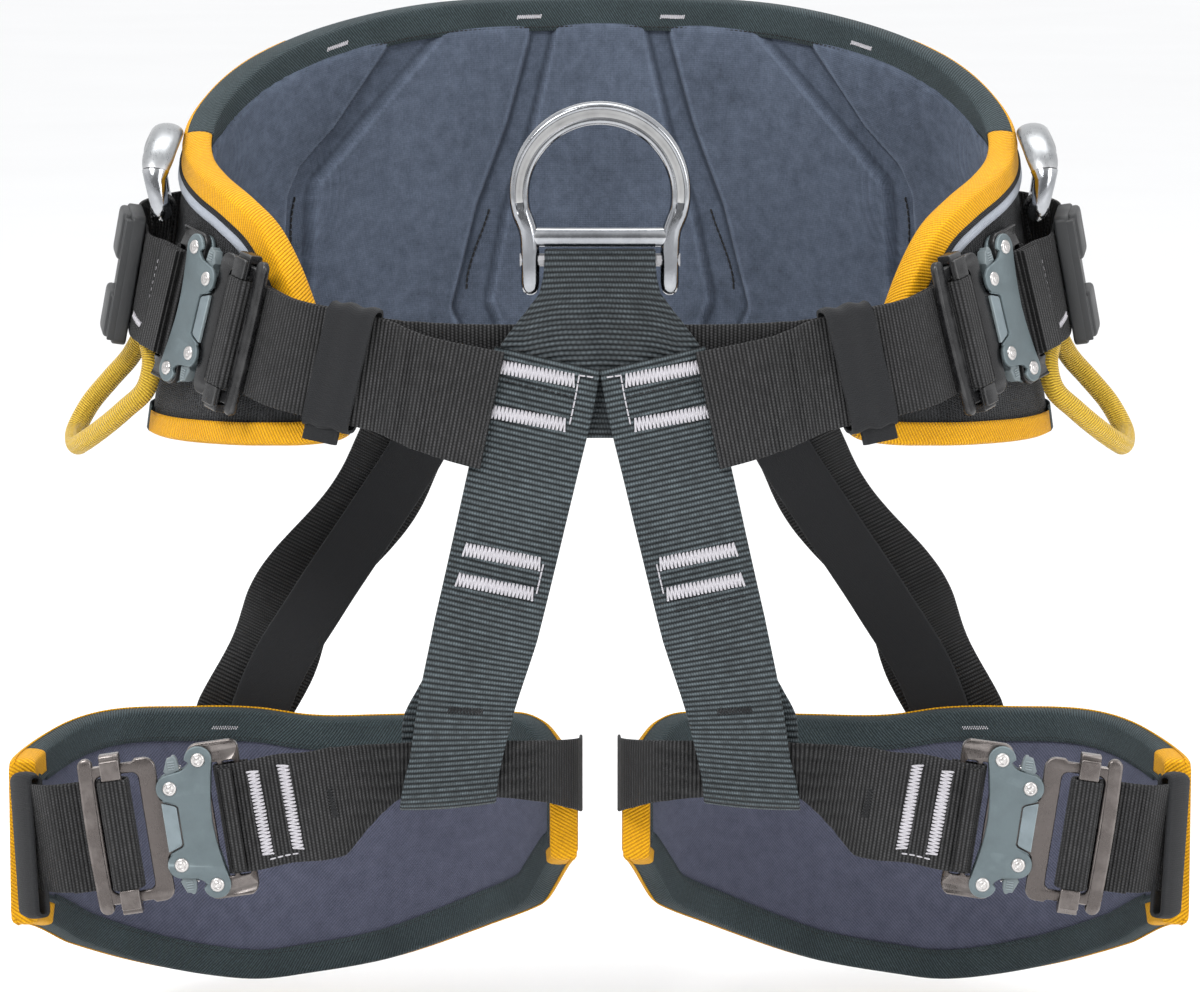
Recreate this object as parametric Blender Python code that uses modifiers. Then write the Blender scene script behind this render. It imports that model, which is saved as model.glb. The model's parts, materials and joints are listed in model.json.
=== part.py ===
"""Tree climbing saddle: a padded waist belt, two leg loops, a ventral D-ring and four quick buckles.

Axes: X to the wearer's left seen from the front (right in a front view), Z up, the wearer faces -Y.
The origin is the centre of the waist, level with the ventral ring's pin. Lengths are in metres.
Every shape is described for the +X side and mirrored by its side number, +1 or -1.
"""

import math

import bmesh
import bpy
from mathutils import Matrix, Vector

# ---------------------------------------------------------------- driving dimensions
WEBBING_WIDTH = 0.045
WEBBING_THICKNESS = 0.0014
RISER_WIDTH = 0.037
GAP = 0.0004
STRIP_STEPS = 2

WAIST_HALF_WIDTH = 0.178
WAIST_HALF_BACK = 0.105
WAIST_HALF_FRONT = 0.120
WAIST_FLARE = 0.14
WAIST_END_ANGLE = 146.0
WAIST_PAD_THICKNESS = 0.009
WAIST_SHELL_THICKNESS = 0.002
# angle from the back centre in degrees, height of the top edge, height of the bottom edge
WAIST_EDGES = [
    (0, 0.092, -0.075), (30, 0.088, -0.076), (60, 0.070, -0.080), (84, 0.047, -0.082),
    (100, 0.033, -0.0815), (112, 0.025, -0.081), (122, 0.017, -0.080), (130, 0.005, -0.079), (135, -0.011, -0.078),
    (140, -0.034, -0.077), (146, -0.054, -0.074),
]

LEG_CENTRE_X = 0.1255
LEG_HALF_WIDTH = 0.1155
LEG_CENTRE_Y = -0.092
LEG_DEPTH = 0.096
LEG_END_ANGLE = 88.0
LEG_PAD_THICKNESS = 0.010
# distance from the middle plane, height of the top edge, height of the bottom edge
LEG_EDGES = [
    (0.0100, -0.213, -0.249), (0.0220, -0.202, -0.275), (0.0490, -0.204, -0.292), (0.0870, -0.208, -0.309),
    (0.1260, -0.209, -0.317), (0.1450, -0.206, -0.319), (0.1740, -0.204, -0.315), (0.2250, -0.204, -0.293),
    (0.2410, -0.210, -0.276),
]

RING_PIN_Y = -0.125
RING_HALF_WIDTH = 0.036
RING_TOP = 0.063
RING_LEG_END = -0.0130
RING_LEG_WIDTH = 0.0076
RING_THICKNESS = 0.0084
RING_BAR_HEIGHT = 0.009
RING_BAR_WIDTH = 0.0084
PIN_RADIUS = 0.0026

SIDE_RING_PIVOT = Vector((0.1826, -0.0050, 0.0105))
SIDE_RING_HEADING = 86.0
SIDE_RING_HALF_SPAN = 0.0280
SIDE_RING_HEIGHT = 0.0315
SIDE_RING_ROD = 0.0040

TOOL_PLATE_CENTRE = Vector((0.1930, -0.0120, -0.0175))
TOOL_PLATE_HEADING = 78.0
STRAP_SLOPE = 11.0
BELT_FLARE = 9.0

BUCKLE_PLATE = 0.0018
BUCKLE_GAP = 0.0034
BUCKLE_CORE = 0.0028
OUTER_RIVET = Vector((0.0065, 0.0258, 0.0))
INNER_RIVET = Vector((-0.0065, 0.0158, 0.0))
RIVET_RADIUS = 0.0020
RIVET_HOLE = 0.0023
RIVET_HEAD = 0.0028
ROUND_STEPS = 8

BAND_WALL = 0.0010
WAVE_STEPS = 12
WAVE_HEIGHT = 0.0042
GEAR_LOOP_ROD = 0.0045

SIDES = {"left": -1, "right": 1}

COLOURS = {
    "panel_foam": ((0.075, 0.090, 0.135, 1.0), 0.85, 0.0),
    "shell_mesh": ((0.012, 0.013, 0.014, 1.0), 0.90, 0.0),
    "black_webbing": ((0.014, 0.014, 0.015, 1.0), 0.70, 0.0),
    "slate_webbing": ((0.040, 0.060, 0.068, 1.0), 0.50, 0.0),
    "elastic": ((0.012, 0.012, 0.013, 1.0), 0.90, 0.0),
    "polished_aluminium": ((0.80, 0.81, 0.82, 1.0), 0.15, 1.0),
    "steel_pin": ((0.60, 0.61, 0.62, 1.0), 0.25, 1.0),
    "buckle_plate": ((0.105, 0.155, 0.170, 1.0), 0.45, 0.6),
    "buckle_lever": ((0.110, 0.150, 0.160, 1.0), 0.50, 0.0),
    "black_bracket": ((0.020, 0.020, 0.021, 1.0), 0.40, 0.6),
    "bronze_adjuster": ((0.100, 0.085, 0.080, 1.0), 0.35, 0.8),
    "tool_plastic": ((0.018, 0.019, 0.020, 1.0), 0.45, 0.0),
    "gear_loop_cord": ((0.85, 0.50, 0.015, 1.0), 0.65, 0.0),
}


# ---------------------------------------------------------------- scene and helpers
def clear_scene():
    for item in list(bpy.data.objects):
        bpy.data.objects.remove(item, do_unlink=True)


def new_collection(name):
    collection = bpy.data.collections.new(name)
    bpy.context.scene.collection.children.link(collection)
    return collection


def material_for(slot):
    name = slot
    found = bpy.data.materials.get(name)
    if found:
        return found
    colour, roughness, metallic = COLOURS[slot]
    material = bpy.data.materials.new(name)
    material.use_nodes = True
    shader = material.node_tree.nodes["Principled BSDF"]
    shader.inputs["Base Color"].default_value = colour
    shader.inputs["Roughness"].default_value = roughness
    shader.inputs["Metallic"].default_value = metallic
    material.diffuse_color = colour
    return material


def add_object(name, mesh, slot, matrix=None):
    """Link a mesh as a named part, or as a hidden cutter where it has no slot."""
    piece = bpy.data.objects.new(name, mesh)
    if matrix is not None:
        piece.matrix_world = matrix
    if slot is None:
        CUTTERS.objects.link(piece)
        piece.hide_render = True
        piece.display_type = "WIRE"
        return piece
    PARTS.objects.link(piece)
    mesh.materials.clear()
    mesh.materials.append(material_for(slot))
    return piece


def mirror_point(point, side):
    return Vector((point[0] * side, point[1], point[2]))


def smooth_path(points):
    """Smooth curve through points, as a function of a position counted in points."""
    count = len(points)
    lengths = [max((end - start).length, 0.00001) for start, end in zip(points, points[1:])]
    slopes = [(end - start) / length for start, end, length in zip(points, points[1:], lengths)]
    tangents = [slopes[0]]
    for index in range(1, count - 1):
        before = lengths[index - 1]
        after = lengths[index]
        tangents.append((slopes[index - 1] * after + slopes[index] * before) / (before + after))
    tangents.append(slopes[-1])

    def at(position):
        index = min(int(position), count - 2)
        part = position - index
        length = lengths[index]
        rise = part * part * (3 - 2 * part)
        leave = part * (1 - part) ** 2 * length
        arrive = -part * part * (1 - part) * length
        middle = points[index] * (1 - rise) + points[index + 1] * rise
        return middle + tangents[index] * leave + tangents[index + 1] * arrive
    return at


def between(values, position):
    """Straight-line value at a position counted in values."""
    index = min(int(position), len(values) - 2)
    part = position - index
    return values[index] * (1 - part) + values[index + 1] * part


def table_value(table, key, column):
    """Straight-line value of one column of a table, by its first column."""
    for low, high in zip(table, table[1:]):
        if key <= high[0]:
            share = max(0.0, (key - low[0]) / (high[0] - low[0]))
            share_smooth = share * share * (3 - 2 * share) * 0.35 + share * 0.65
            return low[column] + (high[column] - low[column]) * share_smooth
    return table[-1][column]


def arc(centre, radius, start, end, steps):
    """Points of an arc, angles in degrees."""
    points = []
    for step in range(steps + 1):
        angle = math.radians(start + (end - start) * step / steps)
        points.append((centre[0] + radius * math.cos(angle), centre[1] + radius * math.sin(angle)))
    return points


def circle(centre, radius, steps=ROUND_STEPS):
    return arc(centre, radius, 0.0, 360.0 - 360.0 / steps, steps - 1)


def rounded_box(low, high, radius, steps=3):
    """Outline of a rectangle with rounded corners."""
    outline = []
    corners = [
        ((high[0] - radius, high[1] - radius), 0), ((low[0] + radius, high[1] - radius), 90),
        ((low[0] + radius, low[1] + radius), 180), ((high[0] - radius, low[1] + radius), 270),
    ]
    for centre, start in corners:
        outline += arc(centre, radius, start, start + 90, steps)
    return outline


def flat_mesh(name, outline, holes, thickness, lift=0.0):
    """Mesh of a flat outline with holes, extruded both ways from the height given by lift."""
    curve = bpy.data.curves.new(name, "CURVE")
    curve.dimensions = "2D"
    curve.fill_mode = "BOTH"
    curve.extrude = thickness / 2
    for loop in [outline] + holes:
        spline = curve.splines.new("POLY")
        spline.points.add(len(loop) - 1)
        for point, place in zip(spline.points, loop):
            point.co = (place[0], place[1], 0.0, 1.0)
        spline.use_cyclic_u = True
    holder = bpy.data.objects.new(name, curve)
    CUTTERS.objects.link(holder)
    bpy.context.view_layer.update()
    evaluated = holder.evaluated_get(bpy.context.evaluated_depsgraph_get())
    mesh = bpy.data.meshes.new_from_object(evaluated)
    bpy.data.objects.remove(holder)
    tidy = bmesh.new()
    tidy.from_mesh(mesh)
    bmesh.ops.remove_doubles(tidy, verts=tidy.verts, dist=0.00001)
    bmesh.ops.recalc_face_normals(tidy, faces=tidy.faces)
    bmesh.ops.translate(tidy, verts=tidy.verts, vec=(0.0, 0.0, lift))
    tidy.to_mesh(mesh)
    tidy.free()
    return mesh


def flat_part(name, outline, holes, thickness, slot, matrix, lift=0.0):
    return add_object(name, flat_mesh(name, outline, holes, thickness, lift), slot, matrix)


def tube_part(name, route, radius, slot, matrix, closed, sides=8):
    """Round rod along a route, as a mesh with a smooth skin."""
    curve = bpy.data.curves.new(name, "CURVE")
    curve.dimensions = "3D"
    curve.bevel_depth = radius
    curve.bevel_resolution = sides // 2 - 2
    curve.use_fill_caps = not closed
    spline = curve.splines.new("POLY")
    spline.points.add(len(route) - 1)
    for point, place in zip(spline.points, route):
        point.co = (place[0], place[1], place[2], 1.0)
    spline.use_cyclic_u = closed
    holder = bpy.data.objects.new(name, curve)
    CUTTERS.objects.link(holder)
    bpy.context.view_layer.update()
    evaluated = holder.evaluated_get(bpy.context.evaluated_depsgraph_get())
    mesh = bpy.data.meshes.new_from_object(evaluated)
    bpy.data.objects.remove(holder)
    tidy = bmesh.new()
    tidy.from_mesh(mesh)
    bmesh.ops.remove_doubles(tidy, verts=tidy.verts, dist=0.00001)
    bmesh.ops.recalc_face_normals(tidy, faces=tidy.faces)
    tidy.to_mesh(mesh)
    tidy.free()
    mesh.shade_smooth()
    return add_object(name, mesh, slot, matrix)


def turned_mesh(name, profile, places, steps=ROUND_STEPS):
    """Closed turned solids about Z at each place; the profile is (radius, height), top to bottom."""
    shape = bmesh.new()
    for place in places:
        rings = []
        for radius, height in profile:
            if radius == 0:
                rings.append([shape.verts.new((place[0], place[1], height))])
                continue
            ring = [shape.verts.new((x, y, height)) for x, y in circle(place, radius, steps)]
            rings.append(ring)
        for upper, lower in zip(rings, rings[1:]):
            for step in range(steps):
                following = (step + 1) % steps
                corners = [upper[step % len(upper)], lower[step % len(lower)]]
                corners.append(lower[following % len(lower)])
                corners.append(upper[following % len(upper)])
                shape.faces.new(list(dict.fromkeys(corners)))
    bmesh.ops.recalc_face_normals(shape, faces=shape.faces)
    mesh = bpy.data.meshes.new(name)
    shape.to_mesh(mesh)
    shape.free()
    return mesh


def box_mesh(name, low, high, bevel=0.0):
    """Box between two corners, with its edges cut off by the bevel width."""
    size = Vector(high) - Vector(low)
    middle = (Vector(high) + Vector(low)) / 2
    shape = bmesh.new()
    bmesh.ops.create_cube(shape, size=1.0)
    bmesh.ops.scale(shape, vec=size, verts=shape.verts)
    bmesh.ops.translate(shape, vec=middle, verts=shape.verts)
    if bevel:
        bmesh.ops.bevel(shape, geom=shape.edges, offset=bevel, segments=1, affect="EDGES")
    mesh = bpy.data.meshes.new(name)
    shape.to_mesh(mesh)
    shape.free()
    return mesh


def combine(piece, tool, operation):
    """Boolean of a hidden tool object on a part."""
    modifier = piece.modifiers.new(operation.lower(), "BOOLEAN")
    modifier.operation = operation
    modifier.solver = "EXACT"
    modifier.object = tool


def sheet_part(name, surface, along, across, thickness, slot):
    """Closed shell about a surface given as a function of two shares from 0 to 1."""
    shape = bmesh.new()
    bmesh.ops.create_grid(shape, x_segments=along, y_segments=across, size=0.5)
    for corner in shape.verts:
        corner.co = surface(corner.co.x + 0.5, corner.co.y + 0.5)
    mesh = bpy.data.meshes.new(name)
    shape.to_mesh(mesh)
    shape.free()
    mesh.shade_smooth()
    piece = add_object(name, mesh, slot)
    shell = piece.modifiers.new("shell", "SOLIDIFY")
    shell.thickness = thickness
    shell.offset = 0.0
    shell.use_even_offset = True
    return piece


def strip_part(name, stations, slot, side=1, width=WEBBING_WIDTH, thickness=WEBBING_THICKNESS):
    """Webbing along stations of (centre, across direction) or (centre, across direction, width)."""
    centres = [mirror_point(station[0], side) for station in stations]
    acrosses = [mirror_point(Vector(station[1]).normalized(), side) for station in stations]
    widths = [station[2] if len(station) > 2 else width for station in stations]
    spans = len(stations) - 1
    centre_at = smooth_path(centres)

    def surface(share_along, share_across):
        position = share_along * spans
        across = between(acrosses, position).normalized()
        reach = between(widths, position) * (share_across - 0.5)
        return centre_at(position) + across * reach

    return sheet_part(name, surface, spans * STRIP_STEPS, 1, thickness, slot)


def frame_at(centre, heading, slope, flare, facing, side):
    """Frame on the +X side or its mirror image: x along the strap, z outwards, y across the strap."""
    turn = math.radians(heading)
    tilt = math.radians(flare)
    climb = math.radians(slope)
    level_along = Vector((math.cos(turn), math.sin(turn), 0.0))
    level_out = Vector((math.sin(turn), -math.cos(turn), 0.0)) * facing
    up = Vector((0.0, 0.0, 1.0))
    outwards = level_out * math.cos(tilt) + up * math.sin(tilt)
    across = up * math.cos(tilt) - level_out * math.sin(tilt)
    along = level_along * math.cos(climb) + across * math.sin(climb)
    along = mirror_point(along, side)
    outwards = mirror_point(outwards, side)
    across = outwards.cross(along)
    matrix = Matrix((along, across, outwards)).transposed().to_4x4()
    matrix.translation = mirror_point(centre, side)
    return matrix


def waist_buckle_frame(side):
    return frame_at(Vector((0.1655, -0.0590, -0.0280)), 52.0, STRAP_SLOPE, BELT_FLARE, 1, side)


def leg_buckle_frame(side):
    return frame_at(Vector((0.1645, -0.1205, -0.2285)), 180.0, 8.4, 0.0, -1, side)


def local_station(frame, along, out, width=None):
    """Station of a strip on the +X side, given in a buckle's frame."""
    centre = frame @ Vector((along, 0.0, out))
    across = frame.to_3x3() @ Vector((0.0, 1.0, 0.0))
    if across.z < 0:
        across = -across
    if width is None:
        return (centre, across)
    return (centre, across, width)


# ---------------------------------------------------------------- waist belt
def waist_point(angle, height, offset, side=1):
    """Point on the belt's outer surface, moved outwards by offset."""
    turn = math.radians(angle)
    half_width = WAIST_HALF_WIDTH - WAIST_FLARE * height + offset
    half_depth = (WAIST_HALF_BACK if math.cos(turn) >= 0 else WAIST_HALF_FRONT) + offset
    return Vector((half_width * math.sin(turn) * side, half_depth * math.cos(turn), height))


def waist_surface(offset, inset):
    """Belt surface between its edges, each edge drawn in by the inset."""
    def surface(share_along, share_across):
        reach = WAIST_END_ANGLE - math.degrees(inset / WAIST_HALF_FRONT)
        angle = (share_along * 2 - 1) * reach
        top = table_value(WAIST_EDGES, abs(angle), 1) - inset
        bottom = table_value(WAIST_EDGES, abs(angle), 2) + inset
        return waist_point(angle, bottom + (top - bottom) * share_across, offset)
    return surface


def build_waist_belt():
    pad_offset = -WAIST_SHELL_THICKNESS - GAP - 0.0005 - WAIST_PAD_THICKNESS / 2
    sheet_part("waist_pad", waist_surface(pad_offset, 0.0), 36, 2, WAIST_PAD_THICKNESS, "panel_foam")
    shell_offset = -GAP - WAIST_SHELL_THICKNESS / 2
    sheet_part("waist_shell", waist_surface(shell_offset, 0.002), 36, 2, WAIST_SHELL_THICKNESS, "shell_mesh")


def build_waist_webbing():
    """Load webbing round the back, from one buckle's bracket to the other."""
    frame = waist_buckle_frame(1)
    half = []
    for angle, height in [(0, 0.000), (12, -0.001), (24, -0.002), (36, -0.004), (48, -0.006), (60, -0.008)]:
        lean = Vector((-WAIST_FLARE * math.sin(math.radians(angle)), 0.0, 1.0))
        half.append((waist_point(angle, height, 0.0018), lean))
    plate = tool_plate_frame(1)
    half.append(((0.1820, 0.0420, -0.0090), half[-1][1]))
    half.append(((0.1925, 0.0330, -0.0105), half[-1][1]))
    for along in (0.0300, 0.0160, 0.0, -0.0160):
        half.append(local_station(plate, along, 0.0))
    fold = [(0.0290, 0.0022), (0.0180, 0.0026), (0.0146, 0.0026), (0.0129, 0.0019), (0.0125, 0.0),
            (0.0129, -0.0019),
            (0.0146, -0.0026), (0.0180, -0.0026), (0.0270, -0.0024)]
    for along, out in fold:
        half.append(local_station(frame, along, out))
    mirrored = [(mirror_point(station[0], -1), mirror_point(station[1], -1)) for station in half[1:]]
    strip_part("waist_webbing", mirrored[::-1] + half, "black_webbing")


def build_front_strap(name, side):
    """Adjustable waist strap: its tail, the turn round the slider, and the strap to the middle."""
    frame = waist_buckle_frame(1)
    upright = Vector((0.0, 0.0, 1.0))
    lean = Vector((0.12, 0.0, 1.0))
    tail = [
        ((0.0440, -0.1308, -0.0595), Vector((-0.21, 0.0, 1.0))),
        ((0.0580, -0.1303, -0.0562), Vector((-0.20, 0.0, 1.0))),
        ((0.0740, -0.1262, -0.0520), Vector((-0.18, 0.0, 1.0))),
        ((0.0870, -0.1196, -0.0472), Vector((-0.05, 0.0, 1.0))),
        ((0.1000, -0.1156, -0.0447), lean),
    ]
    turn = [
        (-0.0550, -0.0031), (-0.0430, -0.0031), (-0.0372, -0.0031), (-0.0351, -0.0026), (-0.0345, -0.0008),
        (-0.0345, 0.0030), (-0.0332, 0.0046), (-0.0290, 0.0048), (-0.0248, 0.0046), (-0.0235, 0.0030),
        (-0.0236, -0.0022), (-0.0262, -0.0050), (-0.0310, -0.0055), (-0.0430, -0.0055), (-0.0560, -0.0057),
    ]
    main = [
        ((0.1020, -0.1120, -0.0440), lean), ((0.0840, -0.1164, -0.0470), upright),
        ((0.0620, -0.1182, -0.0485), upright), ((0.0300, -0.1185, -0.0490), upright),
        ((0.0006, -0.1185, -0.0490), upright),
    ]
    middle = [local_station(frame, along, out) for along, out in turn]
    strip_part(name, tail + middle + main, "black_webbing", side)


def keeper_part(name, centre, heading, slope, flare, low, high, length, slot, side):
    """Elastic band round a strap: a flat ring in the strap's cross-section, drawn out along the strap."""
    frame = frame_at(centre, heading, slope, flare, 1, side)
    turned = frame @ Matrix(((0, 0, 1, 0), (1, 0, 0, 0), (0, 1, 0, 0), (0, 0, 0, 1)))
    inner_low = (low[0], low[1])
    inner_high = (high[0], high[1])
    outline = rounded_box(
        (inner_low[0] - BAND_WALL, inner_low[1] - BAND_WALL),
        (inner_high[0] + BAND_WALL, inner_high[1] + BAND_WALL), 0.0012, 1)
    hole = rounded_box(inner_low, inner_high, 0.0004, 1)
    return flat_part(name, outline, [hole], length, slot, turned)


def build_strap_keeper(name, side):
    keeper_part(
        name, Vector((0.1030, -0.1130, -0.0442)), 21.0, 9.0, 0.0,
        (-0.0256, -0.0044), (0.0256, 0.0044), 0.022, "elastic", side)


# ---------------------------------------------------------------- ventral ring and tie-in
def ring_outline():
    """Outer outline of the D-ring: round top, parallel legs."""
    arch_centre = (0.0, RING_TOP - RING_HALF_WIDTH)
    right = RING_HALF_WIDTH
    inner_leg = 0.0243
    outline = arc(arch_centre, right, -12, 192, 20)
    outline += [(-inner_leg - RING_LEG_WIDTH, 0.006), (-inner_leg - RING_LEG_WIDTH, RING_LEG_END + 0.003)]
    outline += arc((-inner_leg - RING_LEG_WIDTH / 2, RING_LEG_END + 0.003), RING_LEG_WIDTH / 2, 200, 340, 4)
    outline += [(-inner_leg, RING_LEG_END + 0.004), (-inner_leg, RING_BAR_HEIGHT - RING_BAR_WIDTH / 2)]
    mirrored = [(-x, z) for x, z in outline[21:]]
    return outline + mirrored[::-1]


def ring_eye():
    """Opening of the D-ring above its crossbar."""
    radius = 0.0280
    floor = RING_BAR_HEIGHT + RING_BAR_WIDTH / 2
    centre = (0.0, 0.0535 - radius)
    return arc(centre, radius, -8, 188, 16) + [(-0.0250, floor + 0.002), (-0.0235, floor), (0.0235, floor),
                                               (0.0250, floor + 0.002)]


def build_ventral_ring():
    upright = Matrix.Translation((0.0, RING_PIN_Y, 0.0)) @ Matrix.Rotation(math.radians(90), 4, "X")
    ring = flat_part("ventral_ring", ring_outline(), [ring_eye()], RING_THICKNESS, "polished_aluminium",
                     upright)
    hole = turned_mesh("pin_hole",
                       [(0, 0.05), (PIN_RADIUS + 0.0003, 0.05), (PIN_RADIUS + 0.0003, -0.05), (0, -0.05)],
                       [(0.0, 0.0)])
    sideways = Matrix.Translation((0.0, RING_PIN_Y, 0.0)) @ Matrix.Rotation(math.radians(90), 4, "Y")
    combine(ring, add_object("pin_hole", hole, None, sideways), "DIFFERENCE")
    half = RING_HALF_WIDTH - 0.0042
    pin = turned_mesh("ventral_ring_pin", [(0, half), (PIN_RADIUS, half), (PIN_RADIUS, -half), (0, -half)],
                      [(0.0, 0.0)])
    add_object("ventral_ring_pin", pin, "steel_pin", sideways)


def build_tie_in_loop():
    """Webbing over the ring's pin, flared below it into the two risers."""
    across = Vector((1.0, 0.0, 0.0))
    path = [
        (-0.1268, -0.0435, 0.083), (-0.1268, -0.0300, 0.080), (-0.1277, -0.0200, 0.062),
        (-0.1286, -0.0148, 0.0445),
        (-0.1288, -0.0060, 0.0440), (-0.1288, 0.0000, 0.0440), (-0.1277, 0.0027, 0.0440),
        (-0.1250, 0.0038, 0.0440),
        (-0.1223, 0.0027, 0.0440), (-0.1212, 0.0000, 0.0440), (-0.1214, -0.0100, 0.0440),
        (-0.1222, -0.0240, 0.0440),
        (-0.1226, -0.0400, 0.0440),
    ]
    stations = [(Vector((0.0, depth, height)), across, width) for depth, height, width in path]
    strip_part("tie_in_loop", stations, "slate_webbing")


def build_riser(name, side):
    """Riser from the tie-in down the front, round the leg strap and up again behind itself."""
    square = Vector((0.974, 0.0, 0.228))
    middle = Vector((0.998, 0.0, 0.060))
    level = Vector((0.997, 0.0, -0.076))
    stations = [
        ((0.0225, -0.1268, -0.0490), square, 0.043), ((0.0315, -0.1280, -0.0880), square, 0.043),
        ((0.0455, -0.1280, -0.1480), square, 0.042), ((0.0545, -0.1264, -0.1840), middle, 0.038),
        ((0.0575, -0.1250, -0.2000), level, 0.038), ((0.0600, -0.1240, -0.2110), level, 0.038),
        ((0.0610, -0.1229, -0.2186), level, 0.038), ((0.0613, -0.1205, -0.2219), level, 0.038),
        ((0.0610, -0.1180, -0.2186), level), ((0.0602, -0.1168, -0.2110), level),
        ((0.0590, -0.1155, -0.2000), level), ((0.0570, -0.1158, -0.1860), middle),
        ((0.0530, -0.1185, -0.1770), square), ((0.0490, -0.1246, -0.1640), square),
        ((0.0440, -0.1256, -0.1410), square),
    ]
    strip_part(name, stations, "slate_webbing", side, RISER_WIDTH)


# ---------------------------------------------------------------- side attachments
def tool_plate_frame(side):
    return frame_at(TOOL_PLATE_CENTRE, TOOL_PLATE_HEADING, STRAP_SLOPE, BELT_FLARE, 1, side)


def build_tool_plate(name, side):
    """Plastic plate over the webbing: a flat base with a thin rail and two raised pads."""
    frame = tool_plate_frame(side)
    up = 1 if frame.to_3x3().col[1].z > 0 else -1
    base = add_object(name, box_mesh(name, (-0.0120, -0.0280, 0.0018), (0.0120, 0.0280, 0.0078), 0.0004),
                      "tool_plastic", frame)
    raised = [
        ((-0.0060, 0.0065 * up, 0.0040), (0.0110, 0.0270 * up, 0.0110), 0.0016),
        ((-0.0060, -0.0270 * up, 0.0040), (0.0110, -0.0065 * up, 0.0110), 0.0016),
        ((-0.0118, -0.0260, 0.0060), (-0.0102, 0.0260, 0.0100), 0.0003),
    ]
    for number, (first, second, bevel) in enumerate(raised):
        low = [min(pair) for pair in zip(first, second)]
        high = [max(pair) for pair in zip(first, second)]
        label = "%s_pad_%d" % (name, number)
        combine(base, add_object(label, box_mesh(label, low, high, bevel), None, frame), "UNION")


def side_ring_frame(side):
    return frame_at(SIDE_RING_PIVOT, SIDE_RING_HEADING, 0.0, 4.0, 1, side)


def build_side_ring(name, side):
    """D-ring that stands above the webbing: round rod, straight foot, arched crown bent outwards."""
    span = SIDE_RING_HALF_SPAN
    foot_corner = 0.0050
    flat = arc((span - foot_corner, foot_corner), foot_corner, -90, 0, 2)
    flat += arc((0.0, SIDE_RING_HEIGHT * 0.42), span, 8, 172, 12)
    flat += arc((-span + foot_corner, foot_corner), foot_corner, 180, 270, 2)
    frame = side_ring_frame(side)
    upwards = 1 if frame.to_3x3().col[1].z > 0 else -1
    route = []
    for along, height in flat:
        lift = (SIDE_RING_HEIGHT / (SIDE_RING_HEIGHT * 0.42 + span)) * height
        bend = 0.0040 * math.sin(math.pi * min(1.0, lift / SIDE_RING_HEIGHT))
        route.append((along, lift * upwards, bend))
    tube_part(name, route, SIDE_RING_ROD, "polished_aluminium", frame, True)


def build_side_ring_loop(name, side):
    """Short webbing loop that ties the ring's foot to the belt."""
    frame = side_ring_frame(1)
    across = frame.to_3x3() @ Vector((1.0, 0.0, 0.0))
    path = [
        (-0.0300, -0.0008), (-0.0140, -0.0030), (-0.0040, -0.0047), (0.0010, -0.0048), (0.0040, -0.0027),
        (0.0049, 0.0000), (0.0040, 0.0027), (0.0010, 0.0048), (-0.0040, 0.0045), (-0.0120, 0.0030),
        (-0.0300, 0.0014),
    ]
    stations = [(frame @ Vector((0.0, height, out)), across) for height, out in path]
    strip_part(name, stations, "black_webbing", side, 0.020, 0.0008)


def build_gear_loop(name, side):
    """Stiff corded loop that hangs outwards from the belt's lower edge."""
    route = []
    path = [
        (0.1930, 0.0040, -0.0470), (0.1950, 0.0080, -0.0570), (0.2030, 0.0100, -0.0690),
        (0.2130, 0.0060, -0.0820),
        (0.2200, -0.0040, -0.0900), (0.2200, -0.0180, -0.0900), (0.2120, -0.0280, -0.0820),
        (0.2000, -0.0310, -0.0710),
        (0.1910, -0.0290, -0.0600), (0.1890, -0.0240, -0.0490),
    ]
    points = [mirror_point(point, side) for point in path]
    spans = len(points) - 1
    place_at = smooth_path(points)
    for step in range(spans * 2 + 1):
        route.append(place_at(step / 2))
    pivot = mirror_point(Vector((0.1910, -0.0100, -0.0480)), side)
    local = [point - pivot for point in route]
    tube_part(name, local, GEAR_LOOP_ROD, "gear_loop_cord", Matrix.Translation(pivot), False)


# ---------------------------------------------------------------- quick buckles
def plate_outline():
    """Outline of a buckle plate: two rivet lobes above, two below, hollowed on the strap's side."""
    upper = [(0.0088, 0.0), (0.0096, 0.0110), (0.0112, 0.0210)]
    upper += arc(OUTER_RIVET, 0.0056, -15, 175, 7)
    upper += [(-0.0012, 0.0229), (-0.0036, 0.0214)]
    upper += arc(INNER_RIVET, 0.0055, 100, 235, 5)
    upper += [(-0.0106, 0.0105)]
    lower = [(x, -y) for x, y in upper[1:]]
    return upper + lower[::-1]


def rivet_places():
    places = []
    for rivet in (OUTER_RIVET, INNER_RIVET):
        places += [(rivet.x, rivet.y), (rivet.x, -rivet.y)]
    return places


def build_front_plate(name, frame):
    holes = [circle(place, RIVET_HOLE) for place in rivet_places()]
    lift = BUCKLE_GAP / 2 + BUCKLE_PLATE / 2
    flat_part(name, plate_outline(), holes, BUCKLE_PLATE, "buckle_plate", frame, lift)


def build_back_plate(name, frame):
    """Back plate with the four rivets that hold the buckle together."""
    lift = -BUCKLE_GAP / 2 - BUCKLE_PLATE / 2
    plate = flat_part(name, plate_outline(), [], BUCKLE_PLATE, "buckle_plate", frame, lift)
    front = BUCKLE_GAP / 2 + BUCKLE_PLATE + 0.0003
    profile = [
        (0, front + 0.0010), (RIVET_HEAD * 0.7, front + 0.0009), (RIVET_HEAD, front + 0.0003),
        (RIVET_HEAD, front),
        (RIVET_RADIUS, front), (RIVET_RADIUS, lift), (0, lift),
    ]
    rivets = add_object(name + "_rivets", turned_mesh(name + "_rivets", profile, rivet_places()), None,
                        frame)
    combine(plate, rivets, "UNION")


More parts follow.
